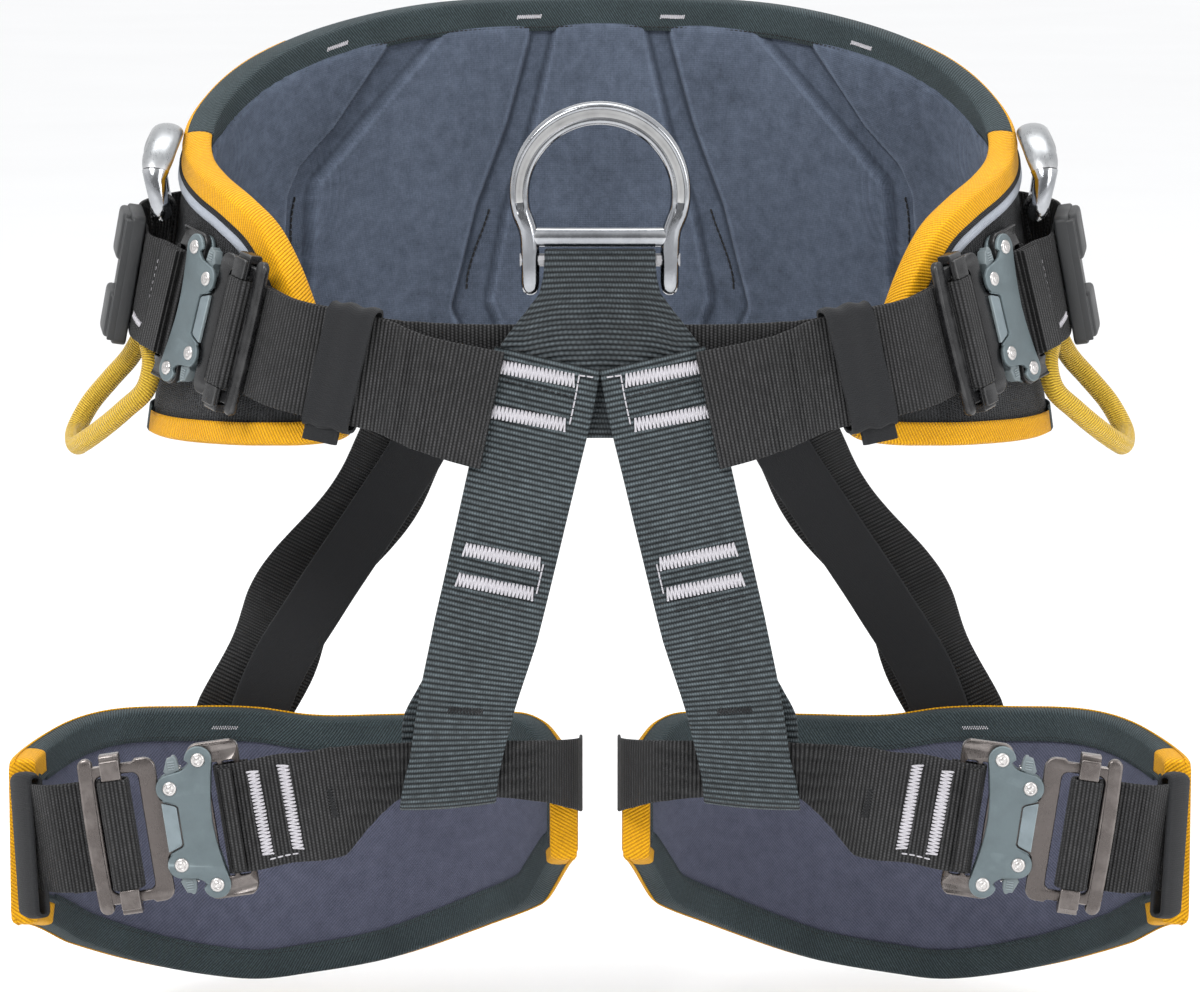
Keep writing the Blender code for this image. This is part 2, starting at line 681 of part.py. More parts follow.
def build_lever(name, frame, end):
    """Sprung release lever between the plates, turning on an inner rivet; its tab stands clear outside."""
    upper = arc((0.0, 0.0), 0.0035, 130, 410, 10)
    upper += [(0.0030, 0.0064), (0.00425, 0.0068), (0.0029, 0.0125), (0.0009, 0.0125), (-0.00045, 0.0068),
              (-0.0002, 0.0064)]
    outline = [(x, y * end) for x, y in upper]
    pivot = frame @ Matrix.Translation((INNER_RIVET.x, INNER_RIVET.y * end, 0.0))
    flat_part(name, outline, [circle((0.0, 0.0), RIVET_HOLE)], BUCKLE_CORE, "buckle_lever", pivot)


def build_strap_frame(name, frame):
    """Bracket riveted between the plates, with two bars for the strap's fold."""
    outline = rounded_box((0.0020, -0.0322), (0.0237, 0.0322), 0.0040)
    windows = [rounded_box((0.0096, -0.0236), (0.0139, 0.0236), 0.0006, 1),
               rounded_box((0.0159, -0.0236), (0.0209, 0.0236), 0.0010, 1)]
    holes = [circle((OUTER_RIVET.x, OUTER_RIVET.y * end), RIVET_HOLE) for end in (1, -1)]
    flat_part(name, outline, windows + holes, BUCKLE_CORE, "black_bracket", frame)


def build_adjuster_frame(name, frame):
    """Male half: tongue, band, two rails and the long end bar."""
    upper = [(0.0005, 0.0), (0.0005, 0.0090), (-0.0020, 0.0115), (-0.0110, 0.0115), (-0.0110, 0.0262)]
    upper += arc((-0.0145, 0.0262), 0.0035, 0, 90, 3)
    upper += [(-0.0190, 0.0297), (-0.0202, 0.0286), (-0.0360, 0.0286)]
    upper += arc((-0.0390, 0.0292), 0.0030, 20, 180, 5)
    upper += [(-0.0424, 0.0150)]
    lower = [(x, -y) for x, y in upper[1:]]
    window = rounded_box((-0.0360, -0.0243), (-0.0185, 0.0243), 0.0025)
    flat_part(name, upper + lower[::-1], [window], BUCKLE_CORE, "bronze_adjuster", frame)


def build_adjuster_slider(name, frame):
    """Slider over the rails, its ends folded round them."""
    half = [(0.0330, 0.0032), (0.0330, -0.0032), (0.0255, -0.0032), (0.0255, -0.0019), (0.0292, -0.0019),
            (0.0292, 0.0019)]
    outline = half + [(-x, y) for x, y in half[::-1]]
    turned = frame @ Matrix.Translation((-0.0290, 0.0, 0.0)) @ Matrix(((0, 0, 1, 0), (1, 0, 0, 0),
                                                                       (0, 1, 0, 0), (0, 0, 0, 1)))
    flat_part(name, outline, [], 0.0080, "bronze_adjuster", turned)


def build_buckle(group, side_name, frame):
    label = "_%s_%s" % (group, side_name)
    upwards = 1 if frame.to_3x3().col[1].z > 0 else -1
    build_front_plate("buckle_front_plate" + label, frame)
    build_back_plate("buckle_back_plate" + label, frame)
    build_lever("buckle_lever_upper" + label, frame, upwards)
    build_lever("buckle_lever_lower" + label, frame, -upwards)
    build_strap_frame("buckle_strap_frame" + label, frame)
    build_adjuster_frame("adjuster_frame" + label, frame)
    build_adjuster_slider("adjuster_slider" + label, frame)


# ---------------------------------------------------------------- leg loops
def build_leg_pad(name, side):
    """Curved pad behind the thigh, taller at the back than at its ends."""
    def surface(share_along, share_across):
        turn = math.radians((share_along * 2 - 1) * LEG_END_ANGLE)
        place = LEG_CENTRE_X + (LEG_HALF_WIDTH - LEG_PAD_THICKNESS / 2) * math.sin(turn)
        depth = LEG_CENTRE_Y + LEG_DEPTH * math.cos(turn)
        reach = LEG_CENTRE_X + LEG_HALF_WIDTH * math.sin(turn)
        top = table_value(LEG_EDGES, reach, 1)
        bottom = table_value(LEG_EDGES, reach, 2)
        return Vector((place * side, depth, bottom + (top - bottom) * share_across))
    sheet_part(name, surface, 28, 3, LEG_PAD_THICKNESS, "panel_foam")


def build_leg_strap_fixed(name, side):
    """Leg strap from the buckle's bracket, through the riser, to the pad's inner end."""
    frame = leg_buckle_frame(1)
    fold = [(0.0260, -0.0024), (0.0180, -0.0026), (0.0146, -0.0026), (0.0129, -0.0019), (0.0125, 0.0),
            (0.0129, 0.0019),
            (0.0146, 0.0026), (0.0180, 0.0026), (0.0240, 0.0025)]
    lean = Vector((0.15, 0.0, 1.0))
    upright = Vector((0.0, 0.0, 1.0))
    path = [
        ((0.1280, -0.1209, -0.2225), lean), ((0.1120, -0.1208, -0.2205), lean),
        ((0.0960, -0.1206, -0.2140), lean, 0.0350),
        ((0.0860, -0.1205, -0.2090), lean, 0.0260), ((0.0790, -0.1205, -0.2068), upright, 0.0220),
        ((0.0605, -0.1205, -0.2063), upright, 0.0220), ((0.0400, -0.1204, -0.2064), upright, 0.0230),
        ((0.0300, -0.1185, -0.2072), upright, 0.0240), ((0.0200, -0.1120, -0.2090), upright, 0.0260),
        ((0.0125, -0.1035, -0.2120), upright, 0.0280), ((0.0068, -0.0980, -0.2140), upright, 0.0300),
    ]
    stations = [local_station(frame, along, out) for along, out in fold]
    strip_part(name, stations + path, "black_webbing", side)


def build_leg_strap_adjust(name, side):
    """Adjustable end of the leg strap: from the outer sleeve, round the slider and back."""
    frame = leg_buckle_frame(1)
    turn = [
        (-0.0640, -0.0170), (-0.0570, -0.0088), (-0.0500, -0.0060), (-0.0430, -0.0055), (-0.0310, -0.0055),
        (-0.0262, -0.0050), (-0.0236, -0.0022), (-0.0235, 0.0030), (-0.0248, 0.0046), (-0.0290, 0.0048),
        (-0.0332, 0.0046), (-0.0345, 0.0030), (-0.0345, -0.0008), (-0.0351, -0.0026), (-0.0372, -0.0031),
        (-0.0430, -0.0031), (-0.0520, -0.0038),
    ]
    stations = [local_station(frame, along, out) for along, out in turn]
    strip_part(name, stations, "black_webbing", side)


def build_leg_sleeve(name, side):
    """Elastic sleeve that holds the strap at the pad's outer end."""
    keeper_part(
        name, Vector((0.2320, -0.0990, -0.2420)), 55.0, -6.0, 0.0,
        (-0.0255, -0.0022), (0.0255, 0.0022), 0.012, "elastic", side)


def build_rear_elastic(name, side):
    """Elastic from the belt's back down to the leg pad."""
    across = Vector((0.86, -0.18, 0.47))
    path = [
        (0.0640, 0.1010, -0.0450), (0.0660, 0.1008, -0.0650), (0.0700, 0.0985, -0.0860),
        (0.0800, 0.0860, -0.1040),
        (0.0980, 0.0610, -0.1300), (0.1220, 0.0330, -0.1640), (0.1400, 0.0155, -0.1930),
        (0.1470, 0.0110, -0.2120),
        (0.1500, 0.0095, -0.2350),
    ]
    stations = [(Vector(point), across) for point in path]
    strip_part(name, stations, "elastic", side, 0.025, 0.0016)


def build_rear_webbing(name, side):
    """Spare webbing behind the elastic, longer than it, so that it lies in waves."""
    across = Vector((0.86, -0.22, 0.46))
    base = [
        Vector((0.0700, 0.1050, -0.0480)), Vector((0.0740, 0.1050, -0.0690)),
        Vector((0.0800, 0.1010, -0.0900)),
        Vector((0.1020, 0.0760, -0.1250)), Vector((0.1320, 0.0420, -0.1690)),
        Vector((0.1520, 0.0185, -0.2050)),
        Vector((0.1560, 0.0130, -0.2300)),
    ]
    behind = Vector((0.62, 0.76, -0.10)).normalized()
    place_at = smooth_path(base)
    waves_from = 1.6
    waves = 2.5
    reach = len(base) - 1 - waves_from
    stations = [(point, across) for point in base[:2]]
    for step in range(WAVE_STEPS + 1):
        share = step / WAVE_STEPS
        swing = math.sin(2 * math.pi * waves * share) * math.sin(math.pi * share)
        stations.append((place_at(waves_from + reach * share) + behind * (WAVE_HEIGHT * swing), across))
    strip_part(name, stations, "black_webbing", side, 0.040)


# ---------------------------------------------------------------- the saddle
def build_saddle():
    build_waist_belt()
    build_waist_webbing()
    build_ventral_ring()
    build_tie_in_loop()
    for side_name, side in SIDES.items():
        build_front_strap("front_strap_" + side_name, side)
        build_strap_keeper("strap_keeper_" + side_name, side)
        build_side_ring("side_ring_" + side_name, side)
        build_side_ring_loop("side_ring_loop_" + side_name, side)
        build_tool_plate("tool_plate_" + side_name, side)
        build_gear_loop("gear_loop_" + side_name, side)
        build_buckle("waist", side_name, waist_buckle_frame(side))
        build_buckle("leg", side_name, leg_buckle_frame(side))
        build_riser("riser_" + side_name, side)
        build_leg_pad("leg_pad_" + side_name, side)
        build_leg_strap_fixed("leg_strap_fixed_" + side_name, side)
        build_leg_strap_adjust("leg_strap_adjust_" + side_name, side)
        build_leg_sleeve("leg_sleeve_" + side_name, side)
        build_rear_elastic("rear_elastic_" + side_name, side)
        build_rear_webbing("rear_webbing_" + side_name, side)


clear_scene()
PARTS = new_collection("tree_climbing_saddle")
CUTTERS = new_collection("cutters")
build_saddle()
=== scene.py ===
"""Looks of the tree climbing saddle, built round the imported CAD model.

Axes: X to the right in a front view, Z up, the wearer faces -Y. Lengths are in metres.
Every shape is described for the +X side and mirrored by its side number, +1 or -1.
"""

import json
import math

import bmesh
import bpy
import numpy as np
from mathutils import Matrix, Vector, noise


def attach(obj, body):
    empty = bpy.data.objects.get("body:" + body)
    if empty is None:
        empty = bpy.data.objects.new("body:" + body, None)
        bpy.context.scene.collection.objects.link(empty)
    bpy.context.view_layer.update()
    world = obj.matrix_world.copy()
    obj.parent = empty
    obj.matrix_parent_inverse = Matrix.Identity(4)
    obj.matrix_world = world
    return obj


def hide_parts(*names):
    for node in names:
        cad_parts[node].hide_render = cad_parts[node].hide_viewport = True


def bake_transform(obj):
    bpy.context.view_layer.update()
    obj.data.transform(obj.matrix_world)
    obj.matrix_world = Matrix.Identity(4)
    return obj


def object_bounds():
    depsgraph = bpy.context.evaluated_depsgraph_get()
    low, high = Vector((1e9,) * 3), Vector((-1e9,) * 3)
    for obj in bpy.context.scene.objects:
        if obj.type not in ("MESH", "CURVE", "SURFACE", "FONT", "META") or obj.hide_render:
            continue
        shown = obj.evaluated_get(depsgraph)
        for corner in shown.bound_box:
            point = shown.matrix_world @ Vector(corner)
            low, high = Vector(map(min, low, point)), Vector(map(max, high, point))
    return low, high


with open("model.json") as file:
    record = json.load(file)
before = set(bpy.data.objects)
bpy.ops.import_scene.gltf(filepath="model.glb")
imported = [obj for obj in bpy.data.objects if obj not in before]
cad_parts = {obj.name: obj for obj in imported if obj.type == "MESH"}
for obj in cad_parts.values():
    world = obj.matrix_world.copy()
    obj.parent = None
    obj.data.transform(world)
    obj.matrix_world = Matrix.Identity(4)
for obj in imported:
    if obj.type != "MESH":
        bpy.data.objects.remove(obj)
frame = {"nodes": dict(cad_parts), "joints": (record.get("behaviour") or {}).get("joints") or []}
CAD_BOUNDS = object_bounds()
JOINTS = {joint["name"]: joint for joint in frame["joints"]}
SIDES = {"left": -1, "right": 1}

# ---------------------------------------------------------------- driving dimensions
CAMERA_TARGET = Vector((0.0, -0.12, -0.0953))
CAMERA_DISTANCE = 2.18
CAMERA_ELEVATION = 8.0
CAMERA_LENS = 163.5

WEBBING = 0.045
WEBBING_THICKNESS = 0.0014
RIB = 0.0018
RISER_WIDTH = 0.037
RIBBON_STEP = 0.0015

WAIST_HALF_WIDTH = 0.178
WAIST_HALF_BACK = 0.105
WAIST_HALF_FRONT = 0.120
WAIST_FLARE = 0.14
WAIST_END_ANGLE = 146.0
# angle from the back centre in degrees, height of the top edge, height of the bottom edge
WAIST_EDGES = [
    (0, 0.092, -0.075), (30, 0.088, -0.076), (60, 0.070, -0.080), (84, 0.047, -0.082),
    (100, 0.033, -0.0815), (112, 0.025, -0.081), (122, 0.017, -0.080), (130, 0.005, -0.079),
    (135, -0.011, -0.078), (140, -0.034, -0.077), (146, -0.054, -0.074),
]
# channels between the belt's cushions: angle, height and half the channel's width at each point
WAIST_CHANNELS = [
    [(8.4, 0.095, 0.0056), (9.4, 0.0750, 0.0046), (12.6, 0.0370, 0.0052), (16.6, 0.0010, 0.0062),
     (19.2, -0.0400, 0.0072),
     (17.4, -0.0500, 0.0068), (17.0, -0.0760, 0.0068)],
    [(27.0, 0.092, 0.0110), (33.6, 0.0670, 0.0066), (43.8, 0.0345, 0.0042), (50.2, 0.0185, 0.0048),
     (51.4, 0.0090, 0.0060),
     (50.6, -0.0240, 0.0068), (50.0, -0.080, 0.0068)],
]

LEG_CENTRE_X = 0.1255
LEG_HALF_WIDTH = 0.1155
LEG_CENTRE_Y = -0.092
LEG_DEPTH = 0.096
LEG_END_ANGLE = 88.0
# distance from the middle plane, height of the top edge, height of the bottom edge
LEG_EDGES = [
    (0.0100, -0.213, -0.249), (0.0220, -0.202, -0.275), (0.0490, -0.204, -0.292), (0.0870, -0.208, -0.309),
    (0.1260, -0.209, -0.317), (0.1450, -0.206, -0.319), (0.1740, -0.204, -0.315), (0.2250, -0.204, -0.293),
    (0.2410, -0.210, -0.276),
]


# ---------------------------------------------------------------- materials
class Signal:
    """Output of a shader node; sums and products of signals become math nodes."""

    def __init__(self, look, socket):
        self.look = look
        self.socket = socket

    def __add__(self, other):
        return self.look.math("ADD", self, other)

    def __sub__(self, other):
        return self.look.math("SUBTRACT", self, other)

    def __mul__(self, other):
        return self.look.math("MULTIPLY", self, other)

    def __truediv__(self, other):
        return self.look.math("DIVIDE", self, other)

    def __pow__(self, other):
        return self.look.math("POWER", self, other)


class Look:
    """One procedural material, with short calls for its nodes."""

    def __init__(self, name, roughness=0.6, metallic=0.0):
        self.material = bpy.data.materials.new(name)
        self.material.use_nodes = True
        self.tree = self.material.node_tree
        self.shader = self.tree.nodes["Principled BSDF"]
        self.set("Roughness", roughness)
        self.set("Metallic", metallic)

    def set(self, socket, value):
        self.feed(value, self.shader.inputs[socket])

    def node(self, kind, **settings):
        made = self.tree.nodes.new(kind)
        for key, value in settings.items():
            setattr(made, key, value)
        return made

    def feed(self, value, socket):
        if isinstance(value, Signal):
            self.tree.links.new(value.socket, socket)
        else:
            socket.default_value = value

    def filled(self, made, inputs, output):
        for key, value in inputs.items():
            self.feed(value, made.inputs[key])
        return Signal(self, made.outputs[output])

    def math(self, operation, *values):
        return self.filled(self.node("ShaderNodeMath", operation=operation), dict(enumerate(values)), 0)

    def place(self, output):
        """The UV map, or the object's own coordinates, in metres, with the first two components."""
        source = Signal(self, self.node("ShaderNodeTexCoord").outputs[output])
        split = self.node("ShaderNodeSeparateXYZ")
        self.feed(source, split.inputs[0])
        return source, Signal(self, split.outputs[0]), Signal(self, split.outputs[1])

    def noise(self, vector, scale, detail=3.0, roughness=0.55):
        settings = {"Vector": vector, "Scale": scale, "Detail": detail, "Roughness": roughness}
        return self.filled(self.node("ShaderNodeTexNoise"), settings, "Fac")

    def pointiness(self):
        return Signal(self, self.node("ShaderNodeNewGeometry").outputs["Pointiness"])

    def stretched(self, vector, factors):
        return self.filled(self.node("ShaderNodeVectorMath", operation="MULTIPLY"), {0: vector, 1: factors},
                           0)

    def wave(self, value, pitch):
        """Rounded ridges of the given pitch: 0 in the valleys, 1 on the crests."""
        return self.math("ABSOLUTE", self.math("SINE", value * (math.pi / pitch)))

    def mixed(self, share, low, high):
        """Colour between two, each a tuple or a signal."""
        settings = {"Factor": share}
        for key, colour in (("A", low), ("B", high)):
            settings[key] = colour if isinstance(colour, Signal) else (*colour, 1.0)
        return self.filled(self.node("ShaderNodeMix", data_type="RGBA"), settings, "Result")

    def ranged(self, value, low, high, start=0.0, end=1.0):
        settings = {"Value": value, "From Min": start, "From Max": end, "To Min": low, "To Max": high}
        return self.filled(self.node("ShaderNodeMapRange"), settings, "Result")

    def relief(self, height, distance, strength=1.0):
        settings = {"Strength": strength, "Distance": distance, "Height": height}
        self.set("Normal", self.filled(self.node("ShaderNodeBump"), settings, "Normal"))

    def cloth(self, weight, roughness, tint=(1.0, 1.0, 1.0)):
        self.set("Specular IOR Level", 0.22)
        self.set("Sheen Weight", weight)
        self.set("Sheen Roughness", roughness)
        self.set("Sheen Tint", (*tint, 1.0))


def webbing_look(name, dark, light, roughness=0.62, sheen=0.03, rib=RIB, depth=0.00060):
    """Ribbed webbing: ridges across the strap, each made of short yarns, with painted shade in the valleys
    and a painted highlight on the crests.
    """
    look = Look(name)
    uv, along, across = look.place("UV")
    ribs = look.wave(along, rib)
    row = look.math("FLOOR", along / rib)
    yarns = look.wave(across + row * 0.0006, 0.0012)
    height = ribs * 0.75 + yarns * 0.25
    uneven = look.noise(look.stretched(uv, (420.0, 210.0, 1.0)), 1.0, 4.0)
    patches = look.noise(uv, 26.0, 2.0)
    # Painted shade and light: the colour goes from dark in the valleys to light on the crests, by ridge
    # height.
    share = height ** 1.6 * look.ranged(uneven, 0.65, 1.15, 0.25, 0.75)
    base = look.mixed(share * look.ranged(patches, 0.7, 1.15, 0.3, 0.7), dark, light)
    # glint: a painted highlight on the crests, in a colour about twice as bright as the crest colour.
    glint = height ** 6.0 * look.ranged(uneven, 0.15, 0.75, 0.40, 0.68)
    bright = tuple(min(1.0, 2.1 * part) for part in light)
    look.set("Base Color", look.mixed(glint, base, bright))
    look.relief(height + uneven * 0.3, depth)
    look.set("Roughness", look.ranged(uneven, roughness - 0.08, roughness + 0.12, 0.3, 0.7))
    look.cloth(sheen, 0.45)
    return look.material


def twill_look(name, dark, light, pitch, slant, roughness=0.75, sheen=0.04, depth=0.00045):
    """Twill tape: slanting ridges."""
    look = Look(name, roughness)
    uv, along, across = look.place("UV")
    ridges = look.wave(along + across * slant, pitch)
    breaks = look.wave(across - along * slant, pitch * 0.8)
    uneven = look.noise(uv, 700.0, 3.0)
    patches = look.noise(uv, 35.0, 2.0)
    height = ridges * 0.8 + breaks * 0.2
    share = height * look.ranged(uneven, 0.6, 1.1, 0.3, 0.7) * look.ranged(patches, 0.75, 1.1, 0.3, 0.7)
    look.set("Base Color", look.mixed(share, dark, light))
    look.relief(height + uneven * 0.25, depth)
    look.cloth(sheen, 0.4)
    return look.material


def panel_look(name, dark, light, diagonal):
    """Brushed knit or fine diagonal weave over foam, with painted shade in its hollows and a painted
    highlight on its crests.
    """
    look = Look(name, 0.85)
    uv, along, across = look.place("UV")
    if diagonal:
        rows = look.wave(along + across * 1.1, 0.0015)
        cross = look.wave(along - across * 0.9, 0.0016)
        weave = rows * 0.8 + cross * 0.2
    else:
        weave = look.wave(along, 0.0008) * look.wave(across, 0.0008)
    fuzz = look.noise(uv, 1100.0, 4.0, 0.7)
    mottle = look.noise(uv, 160.0, 4.0, 0.7)
    patches = look.noise(uv, 14.0, 2.0)
    share = weave * (0.55 if diagonal else 0.15) + fuzz * 0.45
    share = share + look.ranged(mottle, -0.12, 0.16, 0.3, 0.7) + look.ranged(patches, -0.08, 0.10, 0.3, 0.7)
    curvature_for_painted_light = look.pointiness()
    # Painted shade: the colour darkens where the surface is hollow.
    share = share * look.ranged(curvature_for_painted_light, 0.20, 1.0, 0.455, 0.497)
    # Painted highlight: the colour lightens where the surface is convex.
    share = share + look.ranged(curvature_for_painted_light, 0.0, 0.30, 0.505, 0.545)
    look.set("Base Color", look.mixed(share, dark, light))
    look.relief(weave * 0.6 + fuzz, 0.00025)
    look.cloth(0.10, 0.5, (0.80, 0.86, 1.0))
    return look.material


def mesh_look(name):
    """Black spacer mesh: rows of small open cells."""
    look = Look(name, 0.85)
    uv, _, _ = look.place("UV")
    settings = {"Vector": look.stretched(uv, (1.0, 1.25, 1.0)), "Scale": 620.0, "Randomness": 0.25}
    cells = look.filled(look.node("ShaderNodeTexVoronoi"), settings, "Distance")
    open_cell = look.ranged(cells, 0.0, 1.0, 0.15, 0.55)
    fuzz = look.noise(uv, 900.0, 3.0)
    share = open_cell * look.ranged(fuzz, 0.5, 1.2, 0.3, 0.7)
    look.set("Base Color", look.mixed(share, (0.004, 0.004, 0.005), (0.045, 0.047, 0.050)))
    look.relief(open_cell + fuzz * 0.4, 0.0005)
    look.cloth(0.06, 0.5)
    return look.material


def elastic_look(name, dark=(0.006, 0.006, 0.007), light=(0.022, 0.023, 0.025)):
    """Flat knitted elastic: fine lines along the band and a matt fuzz."""
    look = Look(name, 0.85)
    uv, along, across = look.place("UV")
    fuzz = look.noise(uv, 1000.0, 4.0, 0.7)
    height = look.wave(across, 0.0009) * 0.5 + look.wave(along, 0.0006) * 0.5
    look.set("Base Color", look.mixed((height + fuzz) * 0.5, dark, light))
    look.relief(height + fuzz, 0.00018)
    look.cloth(0.06, 0.5)
    return look.material


def thread_look(name, dark, light):
    look = Look(name, 0.6)
    uv, along, across = look.place("UV")
    twist = look.wave(along + across * 0.4, 0.0005)
    patches = look.noise(uv, 900.0, 2.0)
    look.set("Base Color", look.mixed(twist * look.ranged(patches, 0.6, 1.1, 0.3, 0.7), dark, light))
    look.relief(twist, 0.00012)
    look.cloth(0.2, 0.4)
    return look.material


def cord_look(name, turn):
    """Braided sheath: two sets of strands that cross round the cord."""
    look = Look(name, 0.62)
    uv, along, around = look.place("UV")
    right = look.wave(along / 0.0042 + around / turn, 0.25)
    left = look.wave(along / 0.0042 - around / turn, 0.25)
    height = look.math("MAXIMUM", right * left, right * 0.55)
    fuzz = look.noise(uv, 900.0, 3.0)
    share = height ** 0.8 * look.ranged(fuzz, 0.7, 1.1, 0.3, 0.7)
    look.set("Base Color", look.mixed(share, (0.30, 0.150, 0.004), (0.90, 0.62, 0.060)))
    look.relief(height + fuzz * 0.15, 0.0006)
    look.cloth(0.25, 0.4)
    return look.material


def metal_look(name, colour, edge_wear_and_highlight, roughness, metallic=1.0):
    """Metal with fine scratches, cloudy polish, and a lighter colour along the edges that is partly wear and
    partly a painted highlight.
    """
    look = Look(name, roughness, metallic)
    place, _, _ = look.place("Object")
    clouds = look.noise(place, 120.0, 4.0, 0.6)
    scratches = look.noise(look.stretched(place, (2600.0, 300.0, 900.0)), 1.0, 3.0)
    grain = look.noise(place, 2400.0, 2.0)
    # Lighter along convex edges: partly wear, partly a painted highlight.
    edge_wear_and_highlight_share = look.ranged(look.pointiness() + clouds * 0.06, 0.0, 1.0, 0.555, 0.66)
    shade = look.ranged(clouds, 0.86, 1.08, 0.3, 0.7) * look.ranged(scratches, 0.95, 1.04, 0.3, 0.7)
    base = look.mixed(shade, (0.0, 0.0, 0.0), colour)
    look.set("Base Color", look.mixed(edge_wear_and_highlight_share, base, edge_wear_and_highlight))
    rough = look.ranged(clouds, -0.05, 0.07, 0.3, 0.7) + look.ranged(scratches, -0.05, 0.10, 0.3, 0.7)
    look.set("Roughness", rough + roughness)
    look.relief(grain + scratches, 0.00002, 0.6)
    return look.material


def plastic_look(name, colour, light, roughness):
    """Moulded plastic with a fine spark-eroded grain and lighter corners that are partly scuffs and partly a
    painted highlight.
    """
    look = Look(name, roughness)
    place, _, _ = look.place("Object")
    grain = look.noise(place, 1500.0, 3.0, 0.6)
    clouds = look.noise(place, 90.0, 3.0)
    # Lighter on convex corners: partly scuffs, partly a painted highlight.
    edge_wear_and_highlight = look.ranged(look.pointiness() + clouds * 0.05, 0.0, 0.6, 0.56, 0.68)
    look.set("Base Color", look.mixed(clouds * 0.3 + edge_wear_and_highlight, colour, light))
    look.set("Roughness", look.ranged(clouds, roughness - 0.06, roughness + 0.08, 0.3, 0.7))
    look.relief(grain, 0.00006)
    return look.material


LOOKS = {
    "panel": panel_look("belt_panel", (0.025, 0.033, 0.049), (0.158, 0.194, 0.268), False),
    "leg_panel": panel_look("leg_panel", (0.014, 0.016, 0.029), (0.104, 0.110, 0.160), True),
    "mesh": mesh_look("shell_mesh_cloth"),
    "black": webbing_look("black_webbing_cloth", (0.0016, 0.0016, 0.0018), (0.034, 0.034, 0.035),
                          rib=0.0016),
    "slate": webbing_look("slate_webbing_cloth", (0.0022, 0.0033, 0.0040), (0.066, 0.082, 0.090), 0.48, 0.03,
                          0.0022, 0.0008),
    "slate_dark": webbing_look("tie_in_cloth", (0.0024, 0.0032, 0.0038), (0.048, 0.058, 0.064), 0.55, 0.03,
                               0.0021, 0.0007),
    "elastic": elastic_look("elastic_cloth"),
    "binding": twill_look("binding_cloth", (0.0060, 0.0095, 0.0105), (0.062, 0.086, 0.094), 0.0014, 0.8),
    "piping": twill_look("piping_cloth", (0.003, 0.003, 0.004), (0.022, 0.024, 0.028), 0.0012, 0.6),
    "yellow": twill_look("yellow_cloth", (0.46, 0.19, 0.001), (0.86, 0.44, 0.002), 0.0015, 0.55, 0.66, 0.05,
                         0.0005),
    "reflective": twill_look("reflective_cloth", (0.36, 0.39, 0.45), (0.55, 0.59, 0.66), 0.0009, 1.0, 0.45),
    "thread": thread_look("pale_thread", (0.30, 0.29, 0.31), (0.66, 0.64, 0.68)),
    "dark_thread": thread_look("dark_thread", (0.003, 0.003, 0.004), (0.022, 0.023, 0.025)),
    "cord": cord_look("braided_cord", 2 * math.pi * 0.0045),
    "polished": metal_look("polished_ring", (0.31, 0.32, 0.34), (0.62, 0.63, 0.64), 0.10),
    "satin": metal_look("satin_ring", (0.33, 0.34, 0.35), (0.60, 0.60, 0.61), 0.30),
    "groove": metal_look("forged_groove", (0.30, 0.30, 0.30), (0.55, 0.55, 0.55), 0.45),
    "rivet": metal_look("bright_rivet", (0.52, 0.50, 0.49), (0.78, 0.76, 0.74), 0.28),
    # Dark steel for the ring's pin: painted shade, so that the pin blends into the shade of the webbing loop
    # round it.
    "steel": metal_look("pin_steel_painted_shade", (0.10, 0.10, 0.11), (0.30, 0.30, 0.31), 0.35),
    "plate": metal_look("buckle_green", (0.112, 0.143, 0.154), (0.27, 0.33, 0.35), 0.48, 0.35),
    "inset": metal_look("buckle_inset", (0.165, 0.203, 0.222), (0.32, 0.38, 0.40), 0.50, 0.30),
    "lever": plastic_look("lever_moulding", (0.108, 0.134, 0.143), (0.225, 0.265, 0.280), 0.45),
    "black_steel": metal_look("black_coated", (0.010, 0.010, 0.011), (0.14, 0.14, 0.14), 0.26, 0.3),
    "bronze": metal_look("bronze_coated", (0.112, 0.098, 0.093), (0.46, 0.42, 0.40), 0.28, 0.85),
    "tool": plastic_look("tool_moulding", (0.010, 0.011, 0.012), (0.045, 0.047, 0.050), 0.48),
}


# ---------------------------------------------------------------- meshes
SAMPLES_PER_SPAN = 40
JOINED_SHARP = 40.0
PLATE_SHARP = 38.0
COINCIDENT = 0.000002


def add_object(name, data):
    made = bpy.data.objects.new(name, data)
    bpy.context.scene.collection.objects.link(made)
    return made


def add_piece(name, mesh, look, slot, replaced=(), body="harness"):
    """Link a mesh, or several as one, with its look; it replaces CAD nodes and rides on its body. The slot is
    not used.
    """
    if isinstance(mesh, list):
        mesh = joined(name, mesh)
    piece = add_object(name, mesh)
    mesh.materials.clear()
    mesh.materials.append(LOOKS[look])
    if body:
        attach(piece, body)
    if replaced:
        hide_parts(*replaced)
    return piece


def skin_mesh(name, rings, along, around, closed, caps, sharp=50.0):
    """Skin over equal rings of points; the UV map holds the distances along and around, in metres."""
    rows = len(rings)
    count = len(rings[0])
    points = np.array([[tuple(point) for point in ring] for ring in rings]).reshape(-1, 3)
    spans = count if closed else count - 1
    faces = []
    coordinates = []
    for row in range(rows - 1):
        for column in range(spans):
            following = (column + 1) % count
            faces.append((row * count + column, row * count + following,
                          (row + 1) * count + following, (row + 1) * count + column))
            coordinates += [(along[row], around[column]), (along[row], around[column + 1]),
                            (along[row + 1], around[column + 1]), (along[row + 1], around[column])]
    if caps:
        for row, order in ((0, range(count - 1, -1, -1)), (rows - 1, range(count))):
            faces.append(tuple(row * count + column for column in order))
            coordinates += [(along[row], around[column]) for column in order]
    mesh = bpy.data.meshes.new(name)
    mesh.from_pydata(points.tolist(), [], faces)
    layer = mesh.uv_layers.new(name="UVMap")
    layer.data.foreach_set("uv", np.array(coordinates).ravel())
    return shaded(mesh, sharp)


def shaded(mesh, sharp):
    """Smooth shading, with sharp edges above an angle in degrees."""
    mesh.validate()
    mesh.shade_smooth()
    mesh.set_sharp_from_angle(angle=math.radians(sharp))
    return mesh


